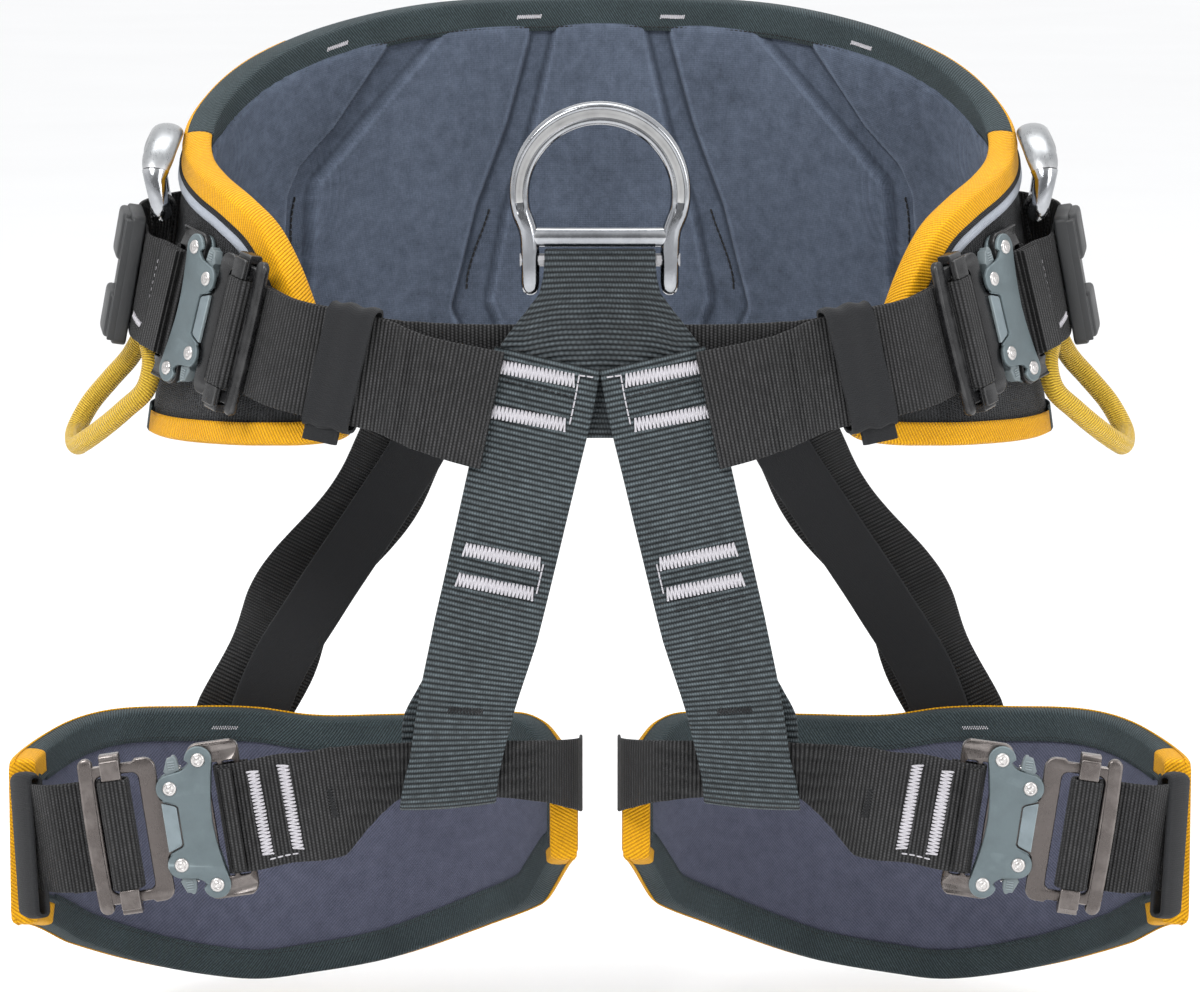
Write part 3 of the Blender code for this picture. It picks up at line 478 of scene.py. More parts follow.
def joined(name, meshes):
    """One mesh out of several."""
    points = []
    faces = []
    coordinates = []
    for mesh in meshes:
        start = len(points)
        points += [tuple(corner.co) for corner in mesh.vertices]
        layer = mesh.uv_layers.active
        for face in mesh.polygons:
            faces.append([start + index for index in face.vertices])
            for loop in face.loop_indices:
                coordinates.append(tuple(layer.data[loop].uv) if layer else (0.0, 0.0))
    whole = bpy.data.meshes.new(name)
    whole.from_pydata(points, [], faces)
    whole.uv_layers.new(name="UVMap").data.foreach_set("uv", np.array(coordinates).ravel())
    for mesh in meshes:
        bpy.data.meshes.remove(mesh)
    return shaded(whole, JOINED_SHARP)


def mirror_point(point, side):
    return Vector((point[0] * side, point[1], point[2]))


def smooth_path(points):
    """Smooth curve through points, as a function of a position counted in points."""
    count = len(points)
    lengths = [max((end - start).length, 0.00001) for start, end in zip(points, points[1:])]
    slopes = [(end - start) / length for start, end, length in zip(points, points[1:], lengths)]
    tangents = [slopes[0]]
    for index in range(1, count - 1):
        before = lengths[index - 1]
        after = lengths[index]
        tangents.append((slopes[index - 1] * after + slopes[index] * before) / (before + after))
    tangents.append(slopes[-1])

    def at(position):
        index = min(int(position), count - 2)
        part = position - index
        length = lengths[index]
        rise = part * part * (3 - 2 * part)
        leave = part * (1 - part) ** 2 * length
        arrive = -part * part * (1 - part) * length
        middle = points[index] * (1 - rise) + points[index + 1] * rise
        return middle + tangents[index] * leave + tangents[index + 1] * arrive
    return at


def between(values, position):
    index = min(int(position), len(values) - 2)
    part = position - index
    return values[index] * (1 - part) + values[index + 1] * part


def even_steps(place_at, spans, step):
    """Positions along a path about one step apart, and their distances from its start."""
    samples = spans * SAMPLES_PER_SPAN
    fine = [spans * share / samples for share in range(samples + 1)]
    places = [place_at(position) for position in fine]
    reached = [0.0]
    for start, end in zip(places, places[1:]):
        reached.append(reached[-1] + (end - start).length)
    count = max(2, round(reached[-1] / step))
    distances = [reached[-1] * index / count for index in range(count + 1)]
    return [float(position) for position in np.interp(distances, reached, fine)], distances


class Ribbon:
    """Strap along stations of (centre, across) or (centre, across, width)."""

    def __init__(self, stations, side=1, width=WEBBING, thickness=WEBBING_THICKNESS, step=RIBBON_STEP,
                 face=1):
        centres = [mirror_point(station[0], side) for station in stations]
        acrosses = [mirror_point(Vector(station[1]).normalized(), side) for station in stations]
        widths = [station[2] if len(station) > 2 else width for station in stations]
        place_at = smooth_path(centres)
        positions, self.distances = even_steps(place_at, len(stations) - 1, step)
        self.thickness = thickness
        self.centres = [place_at(position) for position in positions]
        self.acrosses = [between(acrosses, position).normalized() for position in positions]
        self.widths = [between(widths, position) for position in positions]
        self.normals = []
        last = len(positions) - 1
        for index in range(last + 1):
            heading = self.centres[min(index + 1, last)] - self.centres[max(index - 1, 0)]
            self.normals.append(heading.cross(self.acrosses[index]).normalized() * (face * side))
        self.length = self.distances[-1]
        self.along_of_station = [float(np.interp(number, positions,
                                                 self.distances)) for number in range(len(stations))]

    def position(self, distance):
        return float(np.interp(distance, self.distances, range(len(self.distances))))

    def at(self, distance, across, lift=0.0):
        """Point on the ribbon's face: across from its middle, lift above its front skin."""
        position = self.position(distance)
        centre = between(self.centres, position)
        return centre + between(self.acrosses,
                                position) * across + self.normal(distance) * (self.thickness / 2 + lift)

    def normal(self, distance):
        return between(self.normals, self.position(distance)).normalized()

    def mesh(self, name, curl=0.0, cuts=10):
        """Strap with rounded edges; the curl lifts its edges towards its face."""
        radius = self.thickness / 2
        rings = []
        for centre, across, normal, width in zip(self.centres, self.acrosses, self.normals, self.widths):
            flat = width / 2 - radius
            front = [(flat * (1 - 2 * cut / cuts), radius) for cut in range(cuts + 1)]
            left = [(-flat - radius * math.sin(turn), radius * math.cos(turn)) for turn in (0.8, 1.57, 2.34)]
            back = [(-across_place, -radius) for across_place, _ in front]
            right = [(-across_place, -height) for across_place, height in left]
            ring = []
            for place, height in front + left + back + right:
                bend = curl * (2 * place / width) ** 2
                ring.append(centre + across * place + normal * (height + bend))
            rings.append(ring)
        half = WEBBING / 2
        around = [half * (1 - 2 * cut / cuts) for cut in range(cuts + 1)]
        around += [-half - 0.0005, -half - 0.0010, -half - 0.0005]
        around += [-place for place in around[:cuts + 1]]
        around += [half + 0.0005, half + 0.0010, half + 0.0005, half]
        return skin_mesh(name, rings, self.distances, around, True, True, 60.0)


def tube_mesh(name, route, radius, sides=8, closed=False, aspect=None):
    """Round rod along a route of points; radius may be a list, and aspect widens it along one direction."""
    points = [Vector(point) for point in route]
    count = len(points)
    rings = []
    distances = [0.0]
    side_way = None
    for index, point in enumerate(points):
        before = points[index - 1] if index or closed else point
        after = points[(index + 1) % count] if index < count - 1 or closed else point
        heading = (after - before).normalized()
        if side_way is None:
            side_way = heading.orthogonal()
        side_way = (side_way - heading * side_way.dot(heading)).normalized()
        up_way = heading.cross(side_way)
        size = radius[index] if isinstance(radius, list) else radius
        ring = []
        for step in range(sides):
            turn = 2 * math.pi * step / sides
            spoke = side_way * (size * math.cos(turn)) + up_way * (size * math.sin(turn))
            if aspect:
                direction, factors = aspect
                spoke += direction * (spoke.dot(direction) * (factors[index] - 1))
            ring.append(point + spoke)
        rings.append(ring)
        if index:
            distances.append(distances[-1] + (point - points[index - 1]).length)
    size = radius[0] if isinstance(radius, list) else radius
    around = [2 * math.pi * size * step / sides for step in range(sides + 1)]
    if closed:
        twist = min(range(sides), key=lambda shift: (rings[0][shift] - rings[-1][0]).length)
        rings.append(rings[0][twist:] + rings[0][:twist])
        distances.append(distances[-1] + (points[0] - points[-1]).length)
    mesh = skin_mesh(name, rings, distances, around, True, not closed)
    if closed:
        weld(mesh)
    return mesh


def weld(mesh, distance=COINCIDENT):
    """Merge points that coincide, if a distance is given, and turn every face outwards."""
    shape = bmesh.new()
    shape.from_mesh(mesh)
    if distance:
        bmesh.ops.remove_doubles(shape, verts=shape.verts, dist=distance)
    bmesh.ops.recalc_face_normals(shape, faces=shape.faces)
    shape.to_mesh(mesh)
    shape.free()


def arc(centre, radius, start, end, steps):
    """Points of an arc, angles in degrees."""
    turns = [math.radians(start + (end - start) * step / steps) for step in range(steps + 1)]
    return [(centre[0] + radius * math.cos(turn), centre[1] + radius * math.sin(turn)) for turn in turns]


def circle(centre, radius, steps=24):
    return arc(centre, radius, 0.0, 360.0 - 360.0 / steps, steps - 1)


def rounded_box(low, high, radius, steps=5):
    outline = []
    corners = [
        ((high[0] - radius, high[1] - radius), 0), ((low[0] + radius, high[1] - radius), 90),
        ((low[0] + radius, low[1] + radius), 180), ((high[0] - radius, low[1] + radius), 270),
    ]
    for centre, start in corners:
        outline += arc(centre, radius, start, start + 90, steps)
    return outline


def evaluated(holder):
    """Mesh of an object with its modifiers; the object itself goes."""
    bpy.context.view_layer.update()
    mesh = bpy.data.meshes.new_from_object(holder.evaluated_get(bpy.context.evaluated_depsgraph_get()))
    bpy.data.objects.remove(holder)
    return mesh


def plate_mesh(name, outline, holes, thickness, bevel, matrix, lift=0.0, bend=None):
    """Flat plate with holes and rounded edges, placed by a matrix; bend moves its points first."""
    curve = bpy.data.curves.new(name, "CURVE")
    curve.dimensions = "2D"
    curve.fill_mode = "BOTH"
    curve.extrude = thickness / 2 - bevel
    curve.bevel_depth = bevel
    curve.bevel_resolution = 2
    curve.offset = -bevel
    for loop in [outline] + holes:
        spline = curve.splines.new("POLY")
        spline.points.add(len(loop) - 1)
        for point, place in zip(spline.points, loop):
            point.co = (place[0], place[1], 0.0, 1.0)
        spline.use_cyclic_u = True
    mesh = evaluated(add_object(name, curve))
    bpy.data.curves.remove(curve)
    weld(mesh)
    for corner in mesh.vertices:
        place = corner.co + Vector((0.0, 0.0, lift))
        corner.co = matrix @ (bend(place) if bend else place)
    mesh.shade_smooth()
    mesh.set_sharp_from_angle(angle=math.radians(PLATE_SHARP))
    return mesh


# ---------------------------------------------------------------- stitches
def zigzag_mesh(name, ribbon, corners, across_size, pitch=0.0010, radius=0.00034):
    """Bar tack on a ribbon: a zigzag of thread between two (distance, across) corners."""
    start = Vector(corners[0])
    end = Vector(corners[1])
    heading = (end - start).normalized()
    sideways = Vector((-heading.y, heading.x))
    count = max(4, round((end - start).length / (pitch / 2)))
    route = []
    for step in range(count + 1):
        uneven = 1 + 0.10 * noise.noise((step * 1.7, across_size * 900, 0))
        swing = (across_size / 2) * (1 if step % 2 else -1) * uneven
        middle = start + (end - start) * (step / count)
        for share, lift in ((0.9, 0.00005), (1.0, -0.00025)):
            spot = middle + sideways * (swing * share)
            route.append(ribbon.at(spot.x, spot.y, lift + (0.0002 if share < 1 else 0.0)))
    return tube_mesh(name, route, radius, 5)


def dashes_mesh(name, ribbon, spots, stitch=0.0022, pitch=0.0031, radius=0.00032):
    """Running stitch on a ribbon along (distance, across) spots."""
    path = smooth_path([Vector((spot[0], spot[1], 0.0)) for spot in spots])
    positions, _ = even_steps(path, len(spots) - 1, pitch)
    meshes = []
    for position in positions[:-1]:
        start = path(position)
        heading = (path(min(position + 0.01, len(spots) - 1.0)) - start).normalized()
        route = []
        for share, lift in ((0.0, -0.0003), (0.15, 0.00012), (0.85, 0.00012), (1.0, -0.0003)):
            spot = start + heading * (stitch * share)
            route.append(ribbon.at(spot.x, spot.y, lift))
        meshes.append(tube_mesh(name, route, radius, 5))
    return joined(name, meshes)


# ---------------------------------------------------------------- padded panels
END_STEPS = 8
BORDER_STEP = 0.0015
FAR = 10.0


def smooth_table(table, key, column):
    """Smooth value of one column of a table, by its first column."""
    keys = [row[0] for row in table]
    points = [Vector((row[0], row[column], 0.0)) for row in table]
    position = float(np.interp(key, keys, range(len(keys))))
    return smooth_path(points)(position).y


class Panel:
    """Curved padded sheet: a function places (key, height, out), and tables give its edges."""

    def __init__(self, place, keys, table, side_of, smoothing=12, samples=160):
        self.place = place
        self.smoothing = smoothing
        low, high = keys
        self.samples = samples
        self.keys = [low + (high - low) * index / samples for index in range(samples + 1)]
        self.tops = [smooth_table(table, side_of(key), 1) for key in self.keys]
        self.bottoms = [smooth_table(table, side_of(key), 2) for key in self.keys]
        self.reach = [0.0]
        for start, end in zip(self.keys, self.keys[1:]):
            height = -0.5 * (abs(self.tops[0]) + abs(self.bottoms[0]))
            self.reach.append(self.reach[-1] + (place(end, height, 0.0) - place(start, height, 0.0)).length)
        self.border = self.closed_border()

    def key_at(self, run):
        return float(np.interp(run, self.reach, self.keys))

    def run_at(self, key):
        return float(np.interp(key, self.keys, self.reach))

    def closed_border(self):
        """Edge of the flattened panel as even points: top from low to high key, end, bottom, end."""
        corners = list(zip(self.reach, self.tops))
        last = self.samples

        def down_end(index, start, end):
            heights = [start + (end - start) * step / END_STEPS for step in range(1, END_STEPS)]
            return [(self.reach[index], height) for height in heights]

        corners += down_end(last, self.tops[last], self.bottoms[last])
        corners += list(zip(self.reach, self.bottoms))[::-1]
        corners += down_end(0, self.bottoms[0], self.tops[0])
        ring = np.array(corners + corners[:1])
        gaps = np.linalg.norm(np.diff(ring, axis=0), axis=1)
        reached = np.concatenate([[0.0], np.cumsum(gaps)])
        count = round(reached[-1] / BORDER_STEP)
        even = np.linspace(0.0, reached[-1], count, endpoint=False)
        points = np.stack([np.interp(even, reached, ring[:, axis]) for axis in (0, 1)], axis=1)
        for _ in range(self.smoothing):
            points = (np.roll(points, 1, axis=0) + 2 * points + np.roll(points, -1, axis=0)) / 4
        heading = np.roll(points, -3, axis=0) - np.roll(points, 3, axis=0)
        heading /= np.linalg.norm(heading, axis=1)[:, None]
        for _ in range(6):
            heading = (np.roll(heading, 1, axis=0) + 2 * heading + np.roll(heading, -1, axis=0)) / 4
        heading /= np.linalg.norm(heading, axis=1)[:, None]
        inwards = np.stack([heading[:, 1], -heading[:, 0]], axis=1)
        return points, inwards

    def edge_index(self, run, top):
        points, _ = self.border
        middle = np.interp(run, self.reach, (np.array(self.tops) + np.array(self.bottoms)) / 2)
        same = points[:, 1] > middle if top else points[:, 1] < middle
        distances = np.where(same, np.abs(points[:, 0] - run), FAR)
        return int(np.argmin(distances))

    def at(self, run, height, out):
        return self.place(self.key_at(run), height, out)

    def inside(self, start, end, depth):
        """Every eighth border point between two indices, moved inwards."""
        points, inwards = self.border
        count = len(points)
        steps = range(start, start + (end - start) % count, 8)
        return [tuple(points[step % count] + inwards[step % count] * depth) for step in steps]

    def band_mesh(self, name, start, end, section, thickness=0.0006, narrow=None):
        """Tape along the border between two indices; its section is points of (depth, out)."""
        points, inwards = self.border
        count = len(points)
        indices = range(start, start + ((end - start) % count or count) + 1)
        rings = []
        along = [0.0]
        for number, index in enumerate(indices):
            spot = points[index % count]
            inward = inwards[index % count]
            factor = narrow(number / (len(indices) - 1)) if narrow else 1.0
            ring = []
            for depth, out in section:
                depth_now = depth * factor if depth > 0.002 else depth
                ring.append(self.at(spot[0] + inward[0] * depth_now, spot[1] + inward[1] * depth_now, out))
            rings.append(ring)
            if number:
                gap = points[index % count] - points[(index - 1) % count]
                along.append(along[-1] + float(np.linalg.norm(gap)))
        around = [0.0]
        for first, second in zip(section, section[1:]):
            around.append(around[-1] + math.dist(first, second))
        mesh = skin_mesh(name, rings, along, around, False, False)
        return thickened(mesh, thickness)


def thickened(mesh, thickness):
    """Close a sheet by giving it a thickness."""
    holder = add_object("thicken", mesh)
    shell = holder.modifiers.new("shell", "SOLIDIFY")
    shell.thickness = thickness
    shell.offset = 0.0
    solid = evaluated(holder)
    bpy.data.meshes.remove(mesh)
    return solid


def wrap_section(inner_depth, outer_depth, inner_out, outer_out, lift=0.0008):
    """Section of a tape folded over a panel's edge, from its inner face to its outer face."""
    low = inner_out - lift
    high = outer_out + lift
    middle = (low + high) / 2
    radius = (high - low) / 2
    section = [(inner_depth * (1 - step / 5), low) for step in range(5)]
    for step in range(9):
        turn = math.pi * step / 8
        section.append((-radius * 0.30 * math.sin(turn), middle - radius * math.cos(turn)))
    section += [(outer_depth * (step + 1) / 4, high) for step in range(4)]
    return section


# ---------------------------------------------------------------- waist belt
# length, pitch and radius of the fine stitches along the bindings
EDGE_STITCH = (0.0016, 0.0024, 0.00028)
SHELL_GRID = (180, 20)
BACK_TRIM_LENGTH = 0.085


def waist_place(angle, height, out):
    """Point on the belt's outer surface, moved outwards."""
    turn = math.radians(angle)
    half_width = WAIST_HALF_WIDTH - WAIST_FLARE * height + out
    half_depth = (WAIST_HALF_BACK if math.cos(turn) >= 0 else WAIST_HALF_FRONT) + out
    return Vector((half_width * math.sin(turn), half_depth * math.cos(turn), height))


def distance_to_channel(runs, heights, path):
    """Distance of flat points to a channel's edge; below zero inside the channel."""
    best = np.full(runs.shape, 1.0)
    for (run_a, height_a, half_a), (run_b, height_b, half_b) in zip(path, path[1:]):
        step = (run_b - run_a, height_b - height_a)
        share = ((runs - run_a) * step[0] + (heights - height_a) * step[1]) / (step[0] ** 2 + step[1] ** 2)
        share = np.clip(share, 0.0, 1.0)
        away = np.hypot(runs - run_a - step[0] * share, heights - height_a - step[1] * share)
        best = np.minimum(best, away - half_a - (half_b - half_a) * share)
    return best


def smooth_step(value):
    value = np.clip(value, 0.0, 1.0)
    return value * value * (3 - 2 * value)


def cushion_mesh(name, panel, rows, columns, faces_out, crown, channels, creases=()):
    """Foam sheet: its inner face swells between flat channels and falls off towards the border."""
    inner_out, outer_out = faces_out
    run = np.linspace(0.0, panel.reach[-1], columns + 1)
    top = np.interp(run, panel.reach, panel.tops)
    bottom = np.interp(run, panel.reach, panel.bottoms)
    runs = np.repeat(run[:, None], rows + 1, axis=1)
    heights = top[:, None] + (bottom - top)[:, None] * np.linspace(0.0, 1.0, rows + 1)[None, :]
    edge = np.full(runs.shape, 1.0)
    for point in panel.border[0][::2]:
        edge = np.minimum(edge, np.hypot(runs - point[0], heights - point[1]))
    shoulder = smooth_step((edge - 0.006) / 0.006)
    dome = 1 - np.exp(-np.maximum(0.0, edge - 0.006) / 0.016)
    swell = crown * (0.35 * shoulder + 0.65 * dome)
    for points in channels:
        for side in (1, -1):
            path = [(panel.run_at(angle * side), height, half) for angle, height, half in points]
            away = distance_to_channel(runs, heights, path)
            swell *= smooth_step(away / 0.0024) * (1 - 0.38 * np.exp(-np.maximum(0.0, away) / 0.007))
    for angle, height, radius, reach in creases:
        for side in (1, -1):
            away = np.hypot(runs - panel.run_at(angle * side), heights - height)
            swell += 0.00022 * np.sin(away * 2 * math.pi / 0.0036) * np.exp(-((away - radius) / reach) ** 2)
    thin = np.clip(edge / 0.004, 0.0, 1.0)
    middle = (inner_out + outer_out) / 2
    inner = inner_out + (middle - inner_out) * (1 - thin) * 0.5 - swell
    outer = outer_out - (outer_out - middle) * (1 - thin) * 0.5
    rings = []
    for column in range(columns + 1):
        key = panel.key_at(float(run[column]))
        here = [float(height) for height in heights[column]]
        near = [panel.place(key, height,
                            float(out) + 0.00025 * noise.noise((run[column] * 60, height * 60, 1.3)))
                for height, out in zip(here, inner[column])]
        far = [panel.place(key, height, float(out)) for height, out in zip(here, outer[column])]
        rings.append(near + far[::-1])
    middle_span = panel.tops[panel.samples // 2] - panel.bottoms[panel.samples // 2]
    steps = [panel.tops[0] - 0.9 * row / rows * middle_span for row in range(rows + 1)]
    return skin_mesh(name, rings, [float(place) for place in run], steps + steps[::-1] + steps[:1], True,
                     True, 70.0)


def shell_mesh(name, panel, out, thickness, margin=0.0015):
    """Outer cover of a panel, as a sheet that follows its border."""
    rings = []
    columns, rows = SHELL_GRID
    for column in range(columns + 1):
        run = margin + (panel.reach[-1] - 2 * margin) * column / columns
        key = panel.key_at(run)
        top = float(np.interp(run, panel.reach, panel.tops)) - margin
        bottom = float(np.interp(run, panel.reach, panel.bottoms)) + margin
        rings.append([panel.place(key, top + (bottom - top) * row / rows, out) for row in range(rows + 1)])
    along = [panel.reach[-1] * column / columns for column in range(columns + 1)]
    around = [0.16 * row / rows for row in range(rows + 1)]
    return thickened(skin_mesh(name, rings, along, around, False, False), thickness)


class PanelFace:
    """A panel's inner or outer face used as a ribbon, so that stitches can be laid on it."""

    def __init__(self, panel, out, towards):
        self.panel = panel
        self.out = out
        self.towards = towards

    def at(self, run, height, lift=0.0):
        return self.panel.at(run, height, self.out + self.towards * lift)


def build_waist_belt():
    panel = Panel(waist_place, (-WAIST_END_ANGLE, WAIST_END_ANGLE), WAIST_EDGES, abs)
    inner_out = -0.0085
    outer_out = -0.0026
    creases = [(82.0, 0.030, 0.018, 0.009), (64.0, 0.012, 0.046, 0.008)]
    pad = cushion_mesh("waist_cushion", panel, 110, 620, (inner_out, outer_out), 0.0062, WAIST_CHANNELS,
                       creases)
    piece = add_piece("waist_cushion", pad, "panel", "panel_foam", ["waist_pad"])

    add_piece("belt_shell", shell_mesh("belt_shell", panel, -0.0014, 0.0016), "mesh", "shell_mesh",
              ["waist_shell"])
    left_lobe = panel.edge_index(panel.run_at(-91.0), True)
    right_lobe = panel.edge_index(panel.run_at(91.0), True)
    right_bottom = panel.edge_index(panel.run_at(98.0), False)
    left_bottom = panel.edge_index(panel.run_at(-98.0), False)
    dark_wrap = wrap_section(0.0125, 0.0100, inner_out - 0.0012, 0.0002)
    yellow_wrap = wrap_section(0.0088, 0.0080, inner_out - 0.0008, 0.0002, 0.0007)

    def taper_ends(share):
        return 0.45 + 0.55 * min(1.0, min(share, 1 - share) / 0.06)

    bands = [
        ("belt_binding_top", left_lobe, right_lobe, dark_wrap, "binding", "edge_binding", taper_ends),
        ("belt_binding_bottom", right_bottom, left_bottom, dark_wrap, "binding", "edge_binding", None),
        ("belt_trim_right", right_lobe, right_bottom, yellow_wrap, "yellow", "yellow_trim", None),
        ("belt_trim_left", left_bottom, left_lobe, yellow_wrap, "yellow", "yellow_trim", None),
    ]
    for name, start, end, section, look, slot, narrow in bands:
        add_piece(name, panel.band_mesh(name, start, end, section, 0.0006, narrow), look, slot)
    points, _ = panel.border
    count = len(points)
    inner_edge = [(0.0081, inner_out - 0.0012), (0.0095, inner_out - 0.0020), (0.0109, inner_out - 0.0016)]
    black_line = [(0.0071, 0.0008), (0.0083, 0.0016), (0.0095, 0.0008)]
    stripe = [(0.0091, 0.0007), (0.0100, 0.0013), (0.0117, 0.0016), (0.0131, 0.0011), (0.0135, 0.0004)]
    lobe_bands = [
        ("belt_rim_", 90.0, 143.0, inner_edge, 0.0014, "piping", "edge_binding"),
        ("belt_line_", 89.0, 140.0, black_line, 0.0008, "piping", "edge_binding"),
        ("belt_stripe_", 89.0, 140.0, stripe, 0.0008, "reflective", "reflective_piping"),
    ]
    for label, side in (("right", 1), ("left", -1)):
        for name, first, last, section, thickness, look, slot in lobe_bands:
            ends = [panel.edge_index(panel.run_at(angle * side), True) for angle in (first, last)]
            start, end = ends[::side]
            add_piece(name + label, panel.band_mesh(name + label, start, end, section, thickness), look,
                      slot)
    trim_steps = round(BACK_TRIM_LENGTH / BORDER_STEP)
    for label, start, end in (("left", left_lobe, left_lobe + trim_steps),
                              ("right", right_lobe - trim_steps, right_lobe)):
        behind = [(0.0100, 0.0012), (0.0040, 0.0016), (0.0002, 0.0014), (-0.0012, 0.0002)]
        name = "belt_back_trim_" + label
        add_piece(name, panel.band_mesh(name, start % count, end % count, behind, 0.0006), "yellow",
                  "yellow_trim")
    face = PanelFace(panel, inner_out - 0.0024, -1)
    tacks = []
    for angle, length in ((-46.0, 0.0115), (-11.5, 0.0125), (11.5, 0.0125), (46.0, 0.0115)):
        index = panel.edge_index(panel.run_at(angle), True)
        spot = points[index]
        heading = points[(index + 3) % count] - points[index - 3]
        heading /= np.linalg.norm(heading)
        low, high = [spot + heading * length / 2 * end - (0.0, 0.0062) for end in (-1, 1)]
        tacks.append(zigzag_mesh("tack", face, (low, high), 0.0016, 0.0011))
    add_piece("belt_tacks", tacks, "thread", "thread")
    seams = []
    channel_face = PanelFace(panel, inner_out - 0.0003, -1)
    for side in (1, -1):
        for points_of, start, end in ((WAIST_CHANNELS[0], 3.0, 3.85), (WAIST_CHANNELS[1], 4.0, 4.95)):
            flat = smooth_path([Vector((panel.run_at(angle * side), height, 0.0)) for angle, height,
                                _ in points_of])
            spots = [flat(start + (end - start) * step / 6) for step in range(7)]
            seams.append(dashes_mesh("seam", channel_face, [(spot.x, spot.y) for spot in spots], 0.0020,
                                     0.0029, 0.00045))
    add_piece("belt_channel_seams", seams, "dark_thread", "thread")
    edge_seam = dashes_mesh("seam", face, panel.inside(left_lobe + 6, right_lobe - 6, 0.0108), *EDGE_STITCH)
    add_piece("belt_edge_seam", [edge_seam], "dark_thread", "thread")


# ---------------------------------------------------------------- leg pads
def build_leg_pad(side_name, side):
    def place(angle, height, out):
        turn = math.radians(angle)
        reach = LEG_HALF_WIDTH - 0.005 + out
        depth = LEG_DEPTH + out
        return Vector(((LEG_CENTRE_X + reach * math.sin(turn)) * side, LEG_CENTRE_Y + depth * math.cos(turn),
                       height))

    def edge_key(angle):
        return LEG_CENTRE_X + LEG_HALF_WIDTH * math.sin(math.radians(angle))

    panel = Panel(place, (-LEG_END_ANGLE, LEG_END_ANGLE), LEG_EDGES, edge_key, 5)
    name = "leg_cushion_" + side_name
    pad = cushion_mesh(name, panel, 50, 170, (-0.0028, 0.0042), 0.0026, [])
    if side < 0:
        pad.flip_normals()
    piece = add_piece(name, pad, "leg_panel", "panel_foam", ["leg_pad_" + side_name])
    shell = shell_mesh("leg_shell_" + side_name, panel, 0.0046, 0.0008, 0.0030)
    add_piece("leg_shell_" + side_name, shell, "mesh", "shell_mesh")
    points, inwards = panel.border
    end_run = panel.reach[-1]
    inner_top = panel.edge_index(0.010, True)
    outer_top = panel.edge_index(end_run - 0.018, True)
    outer_bottom = panel.edge_index(end_run - 0.024, False)
    inner_bottom = panel.edge_index(0.014, False)
    dark_wrap = wrap_section(0.0115, 0.0090, -0.0042, 0.0046)
    yellow_wrap = wrap_section(0.0078, 0.0085, -0.0042, 0.0046)
    inner_wrap = wrap_section(0.0042, 0.0085, -0.0042, 0.0046)
    bands = [
        ("leg_binding_top_", inner_top, outer_top, dark_wrap, "binding", "edge_binding"),
        ("leg_trim_outer_", outer_top, outer_bottom, yellow_wrap, "yellow", "yellow_trim"),
        ("leg_binding_bottom_", outer_bottom, inner_bottom, dark_wrap, "binding", "edge_binding"),
        ("leg_trim_inner_", inner_bottom, inner_top, inner_wrap, "yellow", "yellow_trim"),
    ]
    for label, start, end, section, look, slot in bands:
        mesh = panel.band_mesh(label + side_name, start, end, section)
        add_piece(label + side_name, mesh, look, slot)
    for label, start, end, near, far in (("outer_", outer_top - 2, outer_bottom + 2, 0.0074, 0.0104),
                                         ("inner_", inner_bottom - 2, inner_top + 2, 0.0038, 0.0115)):
        lining = [(near, -0.0046), ((near + far) / 2, -0.0056), (far, -0.0044)]
        name = "leg_lining_" + label + side_name
        add_piece(name, panel.band_mesh(name, start, end, lining, 0.0010), "binding", "edge_binding")
    rim = [(0.0090, 0.0056), (0.0030, 0.0060), (-0.0010, 0.0048), (-0.0020, 0.0030)]
    mesh = panel.band_mesh("leg_back_trim_" + side_name, 0, 0, rim, 0.0006)
    add_piece("leg_back_trim_" + side_name, mesh, "yellow", "yellow_trim")
    face = PanelFace(panel, -0.0050, -1)
    seams = []
    for start, end in ((inner_top, outer_top), (outer_bottom, inner_bottom)):
        seams.append(dashes_mesh("seam", face, panel.inside(start, end, 0.0098), *EDGE_STITCH))
    index = panel.edge_index(panel.run_at(math.degrees(math.asin((0.1615 - LEG_CENTRE_X) / LEG_HALF_WIDTH))),
                             True)
    low, high = [(points[index + step] + inwards[index + step] * 0.0058) for step in (-4, 4)]
    tack = zigzag_mesh("leg_pad_tack_" + side_name, face, (tuple(low), tuple(high)), 0.0015, 0.0011)
    add_piece("leg_pad_tack_" + side_name, tack, "thread", "thread")
    add_piece("leg_edge_seam_" + side_name, seams, "dark_thread", "thread")


# ---------------------------------------------------------------- straps
BEND_LENGTH = 0.035
BAND_THICKNESS = 0.0012


def frame_at(centre, heading, slope, flare, facing):
    """Frame on the +X side: x along the strap, y across it, z outwards."""
    turn = math.radians(heading)
    tilt = math.radians(flare)
    climb = math.radians(slope)
    level_along = Vector((math.cos(turn), math.sin(turn), 0.0))
    level_out = Vector((math.sin(turn), -math.cos(turn), 0.0)) * facing
    up = Vector((0.0, 0.0, 1.0))
    outwards = level_out * math.cos(tilt) + up * math.sin(tilt)
    across = up * math.cos(tilt) - level_out * math.sin(tilt)
    along = level_along * math.cos(climb) + across * math.sin(climb)
    matrix = Matrix((along, outwards.cross(along), outwards)).transposed().to_4x4()
    matrix.translation = centre
    return matrix


WAIST_BUCKLE = frame_at((0.1655, -0.0590, -0.0280), 52.0, 11.0, 9.0, 1)
LEG_BUCKLE = frame_at((0.1645, -0.1205, -0.2285), 180.0, 8.4, 0.0, -1)
TOOL_PLATE = frame_at((0.1930, -0.0120, -0.0175), 78.0, 11.0, 9.0, 1)
SIDE_RING = frame_at((0.1826, -0.0050, 0.0105), 86.0, 0.0, 4.0, 1)
UPRIGHT = (0.0, 0.0, 1.0)


def station(place, along, out, width=None):
    """Station of a strap, given in a buckle's frame."""
    across = place.to_3x3() @ Vector((0.0, 1.0, 0.0))
    if across.z < 0:
        across = -across
    centre = place @ Vector((along, 0.0, out))
    return (centre, across, width) if width else (centre, across)


